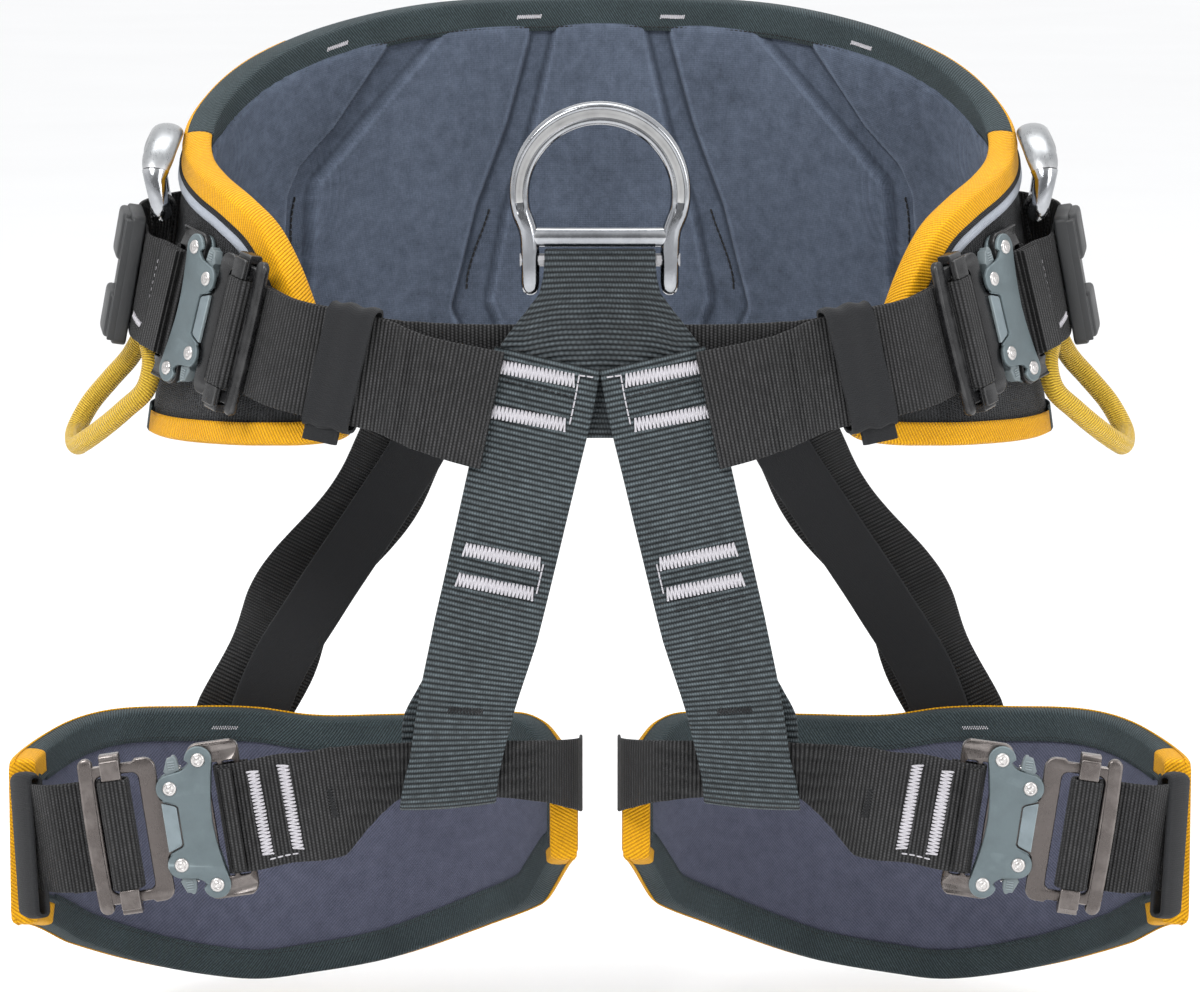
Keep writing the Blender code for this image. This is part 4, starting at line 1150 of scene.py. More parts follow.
def build_waist_webbing():
    half = []
    for angle, height in [(0, 0.000), (12, -0.001), (24, -0.002), (36, -0.004), (48, -0.006), (60, -0.008)]:
        lean = (-WAIST_FLARE * math.sin(math.radians(angle)), 0.0, 1.0)
        half.append((waist_place(angle, height, 0.0018), lean))
    half.append(((0.1820, 0.0420, -0.0090), half[-1][1]))
    half.append(((0.1925, 0.0330, -0.0105), half[-1][1]))
    half += [station(TOOL_PLATE, along, 0.0) for along in (0.0300, 0.0160, 0.0, -0.0160)]
    fold = [(0.0290, 0.0022), (0.0180, 0.0026), (0.0146, 0.0026), (0.0129, 0.0019), (0.0125, 0.0),
            (0.0129, -0.0019),
            (0.0146, -0.0026), (0.0180, -0.0026), (0.0270, -0.0024)]
    half += [station(WAIST_BUCKLE, along, out) for along, out in fold]
    mirrored = [(mirror_point(centre, -1), mirror_point(across, -1)) for centre, across in half[1:]]
    belt = Ribbon(mirrored[::-1] + half, face=-1)
    add_piece("belt_webbing", belt.mesh("belt_webbing"), "black", "black_webbing", ["waist_webbing"])
    count = len(mirrored)
    tacks = []
    seams = []
    for side in (1, -1):
        plate = belt.along_of_station[count + side * 11]
        rear = belt.along_of_station[count + side * 3]
        tacks.append(zigzag_mesh("tack", belt,
                                 ((plate - side * 0.002, -0.0125), (plate + side * 0.0075, -0.0150)),
                                 0.0024))
        seams.append(dashes_mesh("seam", belt,
                                 [(plate + side * 0.0105, 0.014), (plate + side * 0.0105, -0.004)], 0.0016))
        for shift in (0.0, 0.012):
            tacks.append(zigzag_mesh("tack", belt,
                                     ((rear + side * shift, -0.015), (rear + side * shift, 0.015)), 0.0040))
    add_piece("belt_webbing_tacks", tacks + seams, "thread", "thread")
    for side_name, side in SIDES.items():
        fold_layers("belt_fold_" + side_name, WAIST_BUCKLE, side, (0.0040, 0.0055), 0.0115, 0.0440)


def fold_layers(name, place, side, outs, reach, width):
    """Stack of webbing layers that shows beside a buckle, between its bracket and its strap."""
    layers = []
    for number, out in enumerate(outs):
        near = 0.0136 + 0.0009 * (number % 2)
        spots = (near, near + reach * 0.5, near + reach)
        stations = [station(place, along, out, width - 0.0006 * number) for along in spots]
        layers.append(Ribbon(stations, side, step=0.004).mesh("layer", cuts=2))
    add_piece(name, layers, "black", "black_webbing")


def build_front_strap(side_name, side):
    """Waist strap from its tail, round the slider and to the middle."""
    lean = (-0.15, 0.0, 1.0)
    tail = [
        ((0.0428, -0.1306, -0.0597), (-0.21, 0.0, 1.0), 0.0480),
        ((0.0560, -0.1302, -0.0567), (-0.20, 0.0, 1.0), 0.0470),
        ((0.0740, -0.1262, -0.0520), (-0.18, 0.0, 1.0)), ((0.0870, -0.1196, -0.0472), lean),
        ((0.1040, -0.1145, -0.0440), lean),
    ]
    turn = [
        (-0.0550, -0.0031), (-0.0430, -0.0031), (-0.0372, -0.0031), (-0.0351, -0.0026), (-0.0345, -0.0008),
        (-0.0345, 0.0030), (-0.0332, 0.0046), (-0.0290, 0.0048), (-0.0248, 0.0046), (-0.0235, 0.0030),
        (-0.0236, -0.0022), (-0.0262, -0.0050), (-0.0310, -0.0055), (-0.0430, -0.0055), (-0.0560, -0.0057),
    ]
    main = [
        ((0.1020, -0.1120, -0.0440), lean), ((0.0840, -0.1164, -0.0470), UPRIGHT),
        ((0.0620, -0.1182, -0.0485), UPRIGHT), ((0.0300, -0.1185, -0.0490), UPRIGHT),
        ((0.0006, -0.1185, -0.0490), UPRIGHT),
    ]
    middle = [station(WAIST_BUCKLE, along, out) for along, out in turn]
    name = "waist_strap_" + side_name
    strap = Ribbon(tail + middle + main, side)
    mesh = strap.mesh(name)
    for corner in mesh.vertices:
        reach = corner.co.x * side
        slack = math.exp(-((reach - 0.0760) / 0.0080) ** 2)
        pleats = math.sin((reach + 0.18 * (corner.co.z + 0.05)) * 2 * math.pi / 0.0105)
        corner.co.y += 0.0013 * slack * pleats
    piece = add_piece(name, mesh, "black", "black_webbing", ["front_strap_" + side_name], None)
    bend_with_buckle(piece, "waist", side_name, WAIST_BUCKLE, side, -0.0450)
    hem = [(0.0012, -0.0215), (0.0012, 0.0215)]
    seam = dashes_mesh("waist_strap_hem_" + side_name, strap, hem, 0.0018, 0.0026, 0.00028)
    add_piece("waist_strap_hem_" + side_name, seam, "dark_thread", "thread")


def bend_with_buckle(piece, group, side_name, place, side, along):
    """Bake the strap's placement into its mesh; the points worked out near the slider are not used."""
    start = mirror_point(place @ Vector((along - BEND_LENGTH, 0.0, 0.0)), side)
    end = mirror_point(place @ Vector((along, 0.0, 0.0)), side)
    "adjuster_%s_%s" % (group, side_name)
    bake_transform(piece)


def band_mesh(name, place, side, stretch, steps, size_at, radius, spot_at):
    """Elastic band round a strap: rounded boxes along x, with sizes and points moved step by step."""
    rings = []
    along = []
    for step in range(steps + 1):
        shift = stretch[0] + stretch[1] * step / steps
        half_height, half_out = size_at(step)
        box = rounded_box((-half_height, -half_out), (half_height, half_out), radius, 4)
        rings.append([mirror_point(place @ Vector(spot_at(step, shift, *spot)), side) for spot in box])
        along.append(shift)
    around = [0.0]
    for first, second in zip(rings[0], rings[0][1:] + rings[0][:1]):
        around.append(around[-1] + (second - first).length)
    return thickened(skin_mesh(name, rings, along, around, True, False), BAND_THICKNESS)


def build_strap_keeper(side_name, side):
    """Elastic band round the waist strap, with its sewn stub below."""
    place = frame_at((0.1030, -0.1130, -0.0442), 21.0, 9.0, 0.0, 1)

    def size_at(step):
        return 0.0252 + 0.0006 * math.sin(step * 0.9), 0.0048

    def spot_at(step, shift, across, out):
        dent = 0.0004 * math.sin(step * 0.8) * (1 if out > 0 else 0)
        return shift - across * 0.10, across, out - dent

    band = band_mesh("band", place, side, (-0.0100, 0.0200), 14, size_at, 0.0036, spot_at)
    spots = [place @ Vector((0.0045 + 0.0003 * step, -0.0245 - 0.0035 * step, 0.0008)) for step in range(3)]
    stations = [(spot, place.to_3x3().col[0], 0.0155) for spot in spots]
    stub = Ribbon(stations, side, thickness=0.0034, step=0.001).mesh("stub", cuts=4)
    body = "strap_keeper_" + side_name
    add_piece("keeper_band_" + side_name, [band, stub], "elastic", "elastic", [body], body)


def build_tie_in_loop():
    """Webbing over the ring's pin, spread out below it and creased down the middle."""
    across = (1.0, 0.0, 0.0)
    path = [
        (-0.1266, -0.0440, 0.0840), (-0.1266, -0.0360, 0.0830), (-0.1268, -0.0300, 0.0780),
        (-0.1277, -0.0200, 0.0630), (-0.1286, -0.0120, 0.0480), (-0.1288, -0.0060, 0.0450),
        (-0.1288, 0.0000, 0.0440), (-0.1277, 0.0027, 0.0440), (-0.1250, 0.0038, 0.0440),
        (-0.1223, 0.0027, 0.0440), (-0.1212, 0.0000, 0.0440), (-0.1214, -0.0100, 0.0440),
        (-0.1222, -0.0240, 0.0440), (-0.1226, -0.0500, 0.0440), (-0.1226, -0.0715, 0.0440),
    ]
    stations = [((0.0, depth, height), across, width) for depth, height, width in path]
    loop = Ribbon(stations, step=0.0009, face=-1)
    mesh = loop.mesh("tie_in_webbing", cuts=40)
    for corner in mesh.vertices:
        spot = corner.co
        if spot.y < -0.1240 and spot.z < 0.002:
            share = min(1.0, (0.002 - spot.z) / 0.02)
            middle = math.exp(-(spot.x / 0.0045) ** 2) * 0.0016
            folds = 0.0007 * math.cos(spot.x * 330 - 40 * abs(spot.z)) * share
            spot.y += (middle + folds) * share
            spread = (1 - math.exp(-(spot.x / 0.020) ** 2)) * min(1.0, (spot.x / 0.03) ** 2)
            spot.z -= 0.0030 * share * spread
    add_piece("tie_in_webbing", mesh, "slate_dark", "slate_webbing", ["tie_in_loop"])


def build_riser(side_name, side):
    square = (0.974, 0.0, 0.228)
    middle = (0.998, 0.0, 0.060)
    level = (0.997, 0.0, -0.076)
    stations = [
        ((0.0208, -0.1286, -0.0390), square, 0.0430), ((0.0225, -0.1285, -0.0490), square, 0.0430),
        ((0.0315, -0.1284, -0.0880), square, 0.0430), ((0.0455, -0.1280, -0.1480), square, 0.0420),
        ((0.0545, -0.1264, -0.1840), middle, 0.0385), ((0.0575, -0.1250, -0.2000), level, 0.0380),
        ((0.0600, -0.1240, -0.2110), level, 0.0385), ((0.0610, -0.1229, -0.2186), level, 0.0390),
        ((0.0613, -0.1205, -0.2219), level, 0.0390), ((0.0612, -0.1180, -0.2186), level, 0.0385),
        ((0.0608, -0.1168, -0.2110), level, 0.0385), ((0.0605, -0.1155, -0.2000), level, 0.0390),
        ((0.0595, -0.1158, -0.1860), middle, 0.0390), ((0.0545, -0.1185, -0.1770), square, 0.0380),
        ((0.0490, -0.1246, -0.1640), square), ((0.0440, -0.1256, -0.1410), square),
    ]
    name = "riser_webbing_" + side_name
    riser = Ribbon(stations, side, RISER_WIDTH)
    mesh = riser.mesh(name, curl=-0.0009)
    add_piece(name, mesh, "slate", "slate_webbing", ["riser_" + side_name])
    tacks = []
    for near, far, low, high in ((0.0060, 0.0075, -0.0120, 0.0190), (0.0242, 0.0257, -0.0120, 0.0190),
                                 (0.0810, 0.0820, -0.0150, 0.0160), (0.0935, 0.0945, -0.0150, 0.0160)):
        tacks.append(zigzag_mesh("tack", riser, ((near, low), (far, high)), 0.0056, 0.00155, 0.00048))
    seams = [dashes_mesh("seam", riser, [(0.0040, -0.0135), (0.0242, -0.0135)], 0.0026, 0.0034),
             dashes_mesh("seam", riser, [(0.0810, -0.0162), (0.0935, -0.0162)], 0.0026, 0.0034),
             dashes_mesh("seam", riser, [(0.0036, -0.0135), (0.0030, -0.0200)], 0.0022, 0.0028)]
    add_piece("riser_tacks_" + side_name, tacks + seams, "thread", "thread")
    hidden = [dashes_mesh("seam", riser, [(distance, -0.0130), (distance, 0.0160)], 0.0018, 0.0027, 0.00026)
              for distance in (0.0125, 0.1010)]
    hidden.append(zigzag_mesh("tack", riser, ((0.1460, -0.0070), (0.1460, 0.0070)), 0.0030, 0.0013, 0.00030))
    add_piece("riser_dark_seams_" + side_name, hidden, "dark_thread", "thread")


def build_leg_straps(side_name, side):
    fold = [(0.0260, -0.0024), (0.0180, -0.0026), (0.0146, -0.0026), (0.0129, -0.0019), (0.0125, 0.0),
            (0.0129, 0.0019),
            (0.0146, 0.0026), (0.0180, 0.0026), (0.0240, 0.0025)]
    lean = (0.15, 0.0, 1.0)
    path = [
        ((0.1280, -0.1209, -0.2225), lean), ((0.1120, -0.1208, -0.2210), lean, 0.0450),
        ((0.1060, -0.1207, -0.2195), lean, 0.0450), ((0.0960, -0.1206, -0.2135), lean, 0.0345),
        ((0.0860, -0.1205, -0.2085), lean, 0.0255), ((0.0790, -0.1205, -0.2066), UPRIGHT, 0.0220),
        ((0.0605, -0.1205, -0.2063), UPRIGHT, 0.0220), ((0.0400, -0.1204, -0.2064), UPRIGHT, 0.0235),
        ((0.0300, -0.1185, -0.2072), UPRIGHT, 0.0240), ((0.0200, -0.1120, -0.2090), UPRIGHT, 0.0260),
        ((0.0142, -0.1052, -0.2110), UPRIGHT, 0.0280), ((0.0100, -0.0990, -0.2125), UPRIGHT, 0.0295),
        ((0.0080, -0.0915, -0.2140), UPRIGHT, 0.0310), ((0.0078, -0.0830, -0.2150), UPRIGHT, 0.0320),
    ]
    stations = [station(LEG_BUCKLE, along, out) for along, out in fold]
    strap = Ribbon(stations + path, side, face=-1)
    name = "leg_webbing_" + side_name
    mesh = strap.mesh(name, cuts=24)
    for corner in mesh.vertices:
        reach = corner.co.x * side
        gathered = max(0.0, min(1.0, (0.110 - reach) / 0.022)) * max(0.0, min(1.0, (reach - 0.020) / 0.010))
        pleats = math.sin((corner.co.z + 0.2064) * 1150 + reach * 55)
        corner.co.y += (0.0007 if 0.038 < reach < 0.084 else 0.0011) * gathered * pleats
    add_piece(name, mesh, "black", "black_webbing", ["leg_strap_fixed_" + side_name])
    start = strap.along_of_station[8]
    tacks = []
    for shift in (0.0, 0.0125):
        ends = ((start + 0.0045 + shift, -0.0170), (start + 0.0035 + shift, 0.0180))
        tacks.append(zigzag_mesh("tack", strap, ends, 0.0048, 0.00150, 0.00046))
    seam = dashes_mesh("seam", strap, [(start + 0.0050, -0.0190), (start + 0.0175, -0.0188)], 0.0022, 0.0030)
    add_piece("leg_tacks_" + side_name, tacks + [seam], "thread", "thread")
    fold_layers("leg_fold_" + side_name, LEG_BUCKLE, side, (0.0041, 0.0056), 0.0050, 0.0430)
    name = "leg_dark_tack_" + side_name
    ends = ((start + 0.0340, -0.0060), (start + 0.0330, 0.0060))
    dark = zigzag_mesh(name, strap, ends, 0.0030, 0.0012, 0.0003)
    add_piece(name, dark, "dark_thread", "thread")

    turn = [
        (-0.0690, -0.0215), (-0.0640, -0.0165), (-0.0570, -0.0088), (-0.0500, -0.0060), (-0.0430, -0.0055),
        (-0.0310, -0.0055), (-0.0262, -0.0050), (-0.0236, -0.0022), (-0.0235, 0.0030), (-0.0248, 0.0046),
        (-0.0290, 0.0048), (-0.0332, 0.0046), (-0.0345, 0.0030), (-0.0345, -0.0008), (-0.0351, -0.0026),
        (-0.0372, -0.0031), (-0.0430, -0.0031), (-0.0520, -0.0038),
    ]
    name = "leg_tail_" + side_name
    tail = Ribbon([station(LEG_BUCKLE, along, out) for along, out in turn], side)
    piece = add_piece(name, tail.mesh(name), "black", "black_webbing", ["leg_strap_adjust_" + side_name],
                      None)
    bend_with_buckle(piece, "leg", side_name, LEG_BUCKLE, side, -0.0430)


def build_leg_sleeve(side_name, side):
    """Elastic sleeve sewn to the pad's outer end; the leg strap comes out of it."""
    place = frame_at((0.2320, -0.0990, -0.2420), 55.0, -6.0, 0.0, 1)
    steps = 10

    def size_at(step):
        bulge = 0.0010 * math.sin(math.pi * step / steps)
        return 0.0285 + bulge, 0.0024 + bulge

    def spot_at(step, shift, across, out):
        return shift + 0.0005 * math.sin(across * 700 + step), across, out

    name = "leg_band_" + side_name
    band = band_mesh(name, place, side, (-0.0075, 0.0160), steps, size_at, 0.0023, spot_at)
    add_piece(name, band, "elastic", "elastic", ["leg_sleeve_" + side_name])


def build_rear_straps(side_name, side):
    across = (0.86, -0.18, 0.47)
    path = [
        (0.0640, 0.1010, -0.0450), (0.0660, 0.1008, -0.0650), (0.0700, 0.0985, -0.0860),
        (0.0800, 0.0860, -0.1040), (0.0980, 0.0610, -0.1300), (0.1220, 0.0330, -0.1640),
        (0.1400, 0.0155, -0.1930), (0.1470, 0.0110, -0.2120), (0.1500, 0.0095, -0.2350),
    ]
    flat = Ribbon([(point, across) for point in path], side, 0.025, 0.0016, face=-1)
    name = "rear_band_" + side_name
    add_piece(name, flat.mesh(name), "elastic", "elastic", ["rear_elastic_" + side_name])
    across = (0.86, -0.22, 0.46)
    base = [Vector(point) for point in [
        (0.0700, 0.1050, -0.0480), (0.0740, 0.1050, -0.0690), (0.0800, 0.1010, -0.0900),
        (0.1020, 0.0760, -0.1250),
        (0.1320, 0.0420, -0.1690), (0.1520, 0.0185, -0.2050), (0.1560, 0.0130, -0.2300)]]
    behind = Vector((0.62, 0.76, -0.10)).normalized()
    place_at = smooth_path(base)
    waves_from = 1.6
    waves = 2.5
    steps = 24
    reach = len(base) - 1 - waves_from
    stations = [(point, across) for point in base[:2]]
    for step in range(steps + 1):
        share = step / steps
        swing = math.sin(2 * math.pi * waves * share) * math.sin(math.pi * share)
        stations.append((place_at(waves_from + reach * share) + behind * (0.0065 * swing), across))
    slack = Ribbon(stations, side, 0.040, face=-1)
    name = "rear_slack_" + side_name
    add_piece(name, slack.mesh(name), "black", "black_webbing", ["rear_webbing_" + side_name])
    tacks = [zigzag_mesh("tack", slack, ((distance, -0.014), (distance, 0.014)), 0.0040, 0.0014, 0.00042)
             for distance in (0.0050, 0.0170, slack.length - 0.0060, slack.length - 0.0160)]
    add_piece("rear_tacks_" + side_name, tacks, "thread", "thread")


def build_side_ring_loop(side_name, side):
    across = SIDE_RING.to_3x3() @ Vector((1.0, 0.0, 0.0))
    path = [
        (-0.0300, -0.0008), (-0.0140, -0.0030), (-0.0040, -0.0047), (0.0010, -0.0048), (0.0040, -0.0027),
        (0.0049, 0.0000), (0.0040, 0.0027), (0.0010, 0.0048), (-0.0040, 0.0045), (-0.0120, 0.0030),
        (-0.0300, 0.0014),
    ]
    stations = [(SIDE_RING @ Vector((0.0, height, out)), across) for height, out in path]
    loop = Ribbon(stations, side, 0.020, 0.0009)
    name = "ring_webbing_" + side_name
    add_piece(name, loop.mesh(name), "black", "black_webbing", ["side_ring_loop_" + side_name])


# ---------------------------------------------------------------- hardware
OUTER_RIVET = Vector((0.0065, 0.0258))
INNER_RIVET = Vector((-0.0065, 0.0158))
PLATE_THICKNESS = 0.0018
PLATE_LIFT = 0.0026
CORE_THICKNESS = 0.0028
SPRING_RADIUS = 0.00085
SPRING_WIRE = 0.00028
SPRING_TURNS = 5
SPRING_STEPS = 60
ARCH_TURN = 104
ARCH_STEPS = 26


def side_frame(place, side):
    """A frame of the +X side, or its mirror image, still right-handed."""
    along = mirror_point(place.to_3x3().col[0], side)
    outwards = mirror_point(place.to_3x3().col[2], side)
    matrix = Matrix((along, outwards.cross(along), outwards)).transposed().to_4x4()
    matrix.translation = mirror_point(place.translation, side)
    return matrix


def height_sign(place):
    """Which way along its Y a frame's upper side lies."""
    return 1 if place.to_3x3().col[1].z > 0 else -1


def turned_mesh(name, profile, matrix, steps=28):
    """Turned solid about the matrix's Z; the profile is (radius, height), top to bottom."""
    rings = []
    for radius, height in profile:
        ring = circle((0.0, 0.0), max(radius, 0.00001), steps)
        rings.append([matrix @ Vector((x, y, height)) for x, y in ring])
    around = [0.02 * step / steps for step in range(steps + 1)]
    mesh = skin_mesh(name, rings, [0.001 * row for row in range(len(rings))], around, True, True, 35.0)
    weld(mesh, None)
    return mesh


def mirrored_outline(upper):
    """Closed outline from its upper half, listed from the strap's side to the adjuster's side."""
    first = 1 if upper[0][1] == 0.0 else 0
    last = len(upper) - 1 if upper[-1][1] == 0.0 else len(upper)
    return upper + [(x, -y) for x, y in upper[first:last]][::-1]


def plate_outline(notched):
    upper = [(0.0086, 0.0), (0.0089, 0.0060), (0.0096, 0.0120), (0.0108, 0.0190)]
    upper += arc(OUTER_RIVET, 0.0056, -18, 172, 16)
    upper += arc((-0.0030, 0.0285), 0.0064, -32, -82, 6)
    upper += arc(INNER_RIVET, 0.0056, 102, 232, 12)
    upper += [(-0.0104, 0.0114)]
    if notched:
        upper += [(-0.0098, 0.0106), (-0.0052, 0.0088), (-0.0043, 0.0078)]
    return mirrored_outline(upper)


def build_rivets(name, place):
    meshes = []
    front = PLATE_LIFT + PLATE_THICKNESS / 2
    profile = [
        (0.0, 0.00100), (0.0007, 0.00098), (0.0012, 0.00088), (0.00145, 0.00066), (0.0017, 0.00080),
        (0.0022, 0.00082), (0.0026, 0.00060), (0.0029, 0.00025), (0.0030, -0.0001), (0.0030, -0.0004),
    ]
    raised = [(radius, front + height) for radius, height in profile]
    for rivet in (OUTER_RIVET, INNER_RIVET):
        for end in (1, -1):
            spot = place @ Matrix.Translation((rivet.x, rivet.y * end, 0.0))
            meshes.append(turned_mesh("rivet", raised, spot))
            meshes.append(turned_mesh("rivet", raised, spot @ Matrix.Rotation(math.pi, 4, "X")))
            shank = [(0.0, front), (0.0019, front), (0.0019, -front), (0.0, -front)]
            meshes.append(turned_mesh("shank", shank, spot))
    add_piece(name, meshes, "rivet", "rivet")


def build_lever(label, place, end, word):
    """Release lever: round boss on the inner rivet and a ribbed finger tab; a small spring beside it."""
    pivot = place @ Matrix.Translation((INNER_RIVET.x, INNER_RIVET.y * end, 0.0))
    boss = plate_mesh("boss", circle((0.0, 0.0), 0.0034), [circle((0.0, 0.0), 0.0021)], CORE_THICKNESS,
                      0.0003, pivot)
    arm = [(-0.0012, 0.0024), (0.0030, 0.0024), (0.0030, 0.0062), (0.0050, 0.0066), (0.0044, 0.0112)]
    arm += arc((0.0030, 0.0118), 0.0010, 20, 160, 4) + [(0.0004, 0.0118), (-0.0016, 0.0070),
                                                        (-0.0010, 0.0062)]
    outline = [(x, y * end) for x, y in (arm if end > 0 else arm[::-1])]
    meshes = [boss, plate_mesh("tab", outline, [], CORE_THICKNESS + 0.0016, 0.0005, pivot)]
    for row in range(4):
        height = (0.0076 + 0.0010 * row) * end
        ridge = [pivot @ Vector((share, height, 0.0023)) for share in (0.0006, 0.0034)]
        meshes.append(tube_mesh("ridge", ridge, 0.00028, 6))
    name = "lever_%s%s" % (word, label)
    add_piece(name + "_tab", meshes, "lever", "buckle_lever", ["buckle_" + name], name)
    coil = []
    for step in range(SPRING_STEPS + 1):
        turn = 2 * math.pi * SPRING_TURNS * step / SPRING_STEPS
        across = (0.0198 + 0.0042 * step / SPRING_STEPS) * end
        along = INNER_RIVET.x + 0.0046 + SPRING_RADIUS * math.cos(turn)
        coil.append(place @ Vector((along, across, SPRING_RADIUS * math.sin(turn))))
    add_piece("spring_%s%s" % (word, label), tube_mesh("spring", coil, SPRING_WIRE, 6), "rivet", "rivet")


def build_bracket(name, place, look, slot, replaced):
    outline = rounded_box((0.0020, -0.0322), (0.0237, 0.0322), 0.0045, 8)
    windows = [rounded_box((0.0096, -0.0236), (0.0139, 0.0236), 0.0006, 2),
               rounded_box((0.0159, -0.0236), (0.0209, 0.0236), 0.0010, 2)]

    def bent_back(spot):
        over = max(0.0, spot.x - 0.0200)
        return Vector((spot.x - over * 0.25, spot.y, spot.z - over * 0.85))
    mesh = plate_mesh(name, outline, windows, CORE_THICKNESS, 0.0006, place, 0.0, bent_back)
    add_piece(name, mesh, look, slot, replaced)


def build_adjuster(label, place, look, slot):
    """Tongue, band and rails in one, with the long end bar pressed over them."""
    upper = [(0.0005, 0.0), (0.0005, 0.0085)] + arc((-0.0020, 0.0090), 0.0025, 0, 90, 4)
    upper += [(-0.0105, 0.0115), (-0.0110, 0.0122), (-0.0110, 0.0250)]
    upper += arc((-0.0157, 0.0250), 0.0047, 0, 90, 6)
    upper += [(-0.0190, 0.0297), (-0.0202, 0.0286), (-0.0375, 0.0286)]
    window = rounded_box((-0.0360, -0.0243), (-0.0185, 0.0243), 0.0028, 5)
    frame_mesh = plate_mesh("frame", mirrored_outline(upper), [window], CORE_THICKNESS, 0.0007, place)
    rings = []
    steps = 40
    for step in range(steps + 1):
        share = 2 * step / steps - 1
        across = 0.0322 * math.sin(share * math.pi / 2)
        close = math.sqrt(max(0.02, 1 - max(0.0, (abs(across) - 0.0292) / 0.0031) ** 2))
        bow = -0.0009 * (1 - (across / 0.032) ** 2)
        middle = -0.0390 + bow
        ring = []
        for along, out in rounded_box((-0.0031, -0.0017), (0.0031, 0.0017), 0.0012, 3):
            ring.append(place @ Vector((middle + along * close, across, out * (0.5 + 0.5 * close))))
        rings.append(ring)
    along = [0.064 * step / steps for step in range(steps + 1)]
    around = [0.019 * number / len(rings[0]) for number in range(len(rings[0]) + 1)]
    bar = skin_mesh("bar", rings, along, around, True, True, 60.0)
    name = "adjuster_body" + label
    mesh = joined(name, [frame_mesh, bar])
    weld(mesh)
    add_piece(name, mesh, look, slot, ["adjuster_frame" + label], "adjuster" + label)


def build_slider(label, place, look, slot):
    """Slider plate whose ends are folded round the rails."""
    edge_on = Matrix(((0, 0, 1, 0), (1, 0, 0, 0), (0, 1, 0, 0), (0, 0, 0, 1)))
    turned = place @ Matrix.Translation((-0.0290, 0.0, 0.0)) @ edge_on
    half = [(0.0318, 0.0033)] + arc((0.0318, 0.0021), 0.0012, 90, 0, 4)
    half += arc((0.0318, -0.0021), 0.0012, 0, -90, 4)
    half += [(0.0255, -0.0033), (0.0255, -0.0020), (0.0296, -0.0019), (0.0296, 0.0019)]
    outline = half + [(-x, y) for x, y in half[::-1]]
    bar = plate_mesh("bar", outline, [], 0.0080, 0.0004, turned)
    caps = []
    for end in (1, -1):
        low, high = sorted((0.0226 * end, 0.0308 * end))
        caps.append(plate_mesh("cap", rounded_box((-0.0330, low), (-0.0250, high), 0.0008, 3), [], 0.0018,
                               0.0005, place, 0.0041))
    add_piece("slider_bar" + label, [bar] + caps, look, slot, ["adjuster_slider" + label], "slider" + label)


def build_buckle(group, side_name, place):
    label = "_%s_%s" % (group, side_name)
    upwards = height_sign(place)
    inset = [(-0.0108, 0.0100), (-0.0098, 0.0099), (-0.0056, 0.0083), (-0.0049, 0.0074)]
    plates = [
        ("plate_front", plate_outline(True), PLATE_THICKNESS, 0.0006, PLATE_LIFT, "plate",
         ["buckle_front_plate" + label]),
        ("plate_inset", mirrored_outline(inset[::-1]), 0.0016, 0.0004, PLATE_LIFT - 0.0005, "inset", ()),
        ("plate_back", plate_outline(False), PLATE_THICKNESS, 0.0006, -PLATE_LIFT, "plate",
         ["buckle_back_plate" + label]),
    ]
    for name, outline, thickness, bevel, lift, look, replaced in plates:
        mesh = plate_mesh(name + label, outline, [], thickness, bevel, place, lift)
        add_piece(name + label, mesh, look, "buckle_plate", replaced)
    build_rivets("rivets" + label, place)
    build_lever(label, place, upwards, "upper")
    build_lever(label, place, -upwards, "lower")
    look, slot = ("black_steel", "black_bracket") if group == "waist" else ("bronze", "bronze_adjuster")
    build_bracket("bracket" + label, place, look, slot, ["buckle_strap_frame" + label])
    build_adjuster(label, place, look, slot)
    build_slider(label, place, look, slot)


def ring_section(half_width, half_thickness, groove):
    """Forged section: rounded edges, with a groove between two ridges on each face."""
    front = [
        (-1.0, 0.0), (-0.97, 0.42), (-0.88, 0.74), (-0.76, 0.93), (-0.62, 1.0), (-0.50, 0.98),
        (-0.42, 0.90), (-0.36, 0.5), (-0.30, 0.0), (0.0, -0.05), (0.30, 0.0), (0.36, 0.5), (0.42, 0.90),
        (0.50, 0.98), (0.62, 1.0), (0.76, 0.93), (0.88, 0.74), (0.97, 0.42),
    ]
    shape = []
    for number, (place, height) in enumerate(front):
        grooved = 6 <= number <= 12
        round_height = math.sqrt(max(0.0, 1 - abs(place) ** 2.6))
        if grooved:
            sunk = 1.0 - 0.42 * (1 - height)
            rise = sunk * groove + round_height * (1 - groove)
        else:
            rise = height * groove + round_height * (1 - groove)
        shape.append((place * half_width, rise * half_thickness))
    back = [(-x, -y) for x, y in shape]
    return shape + back


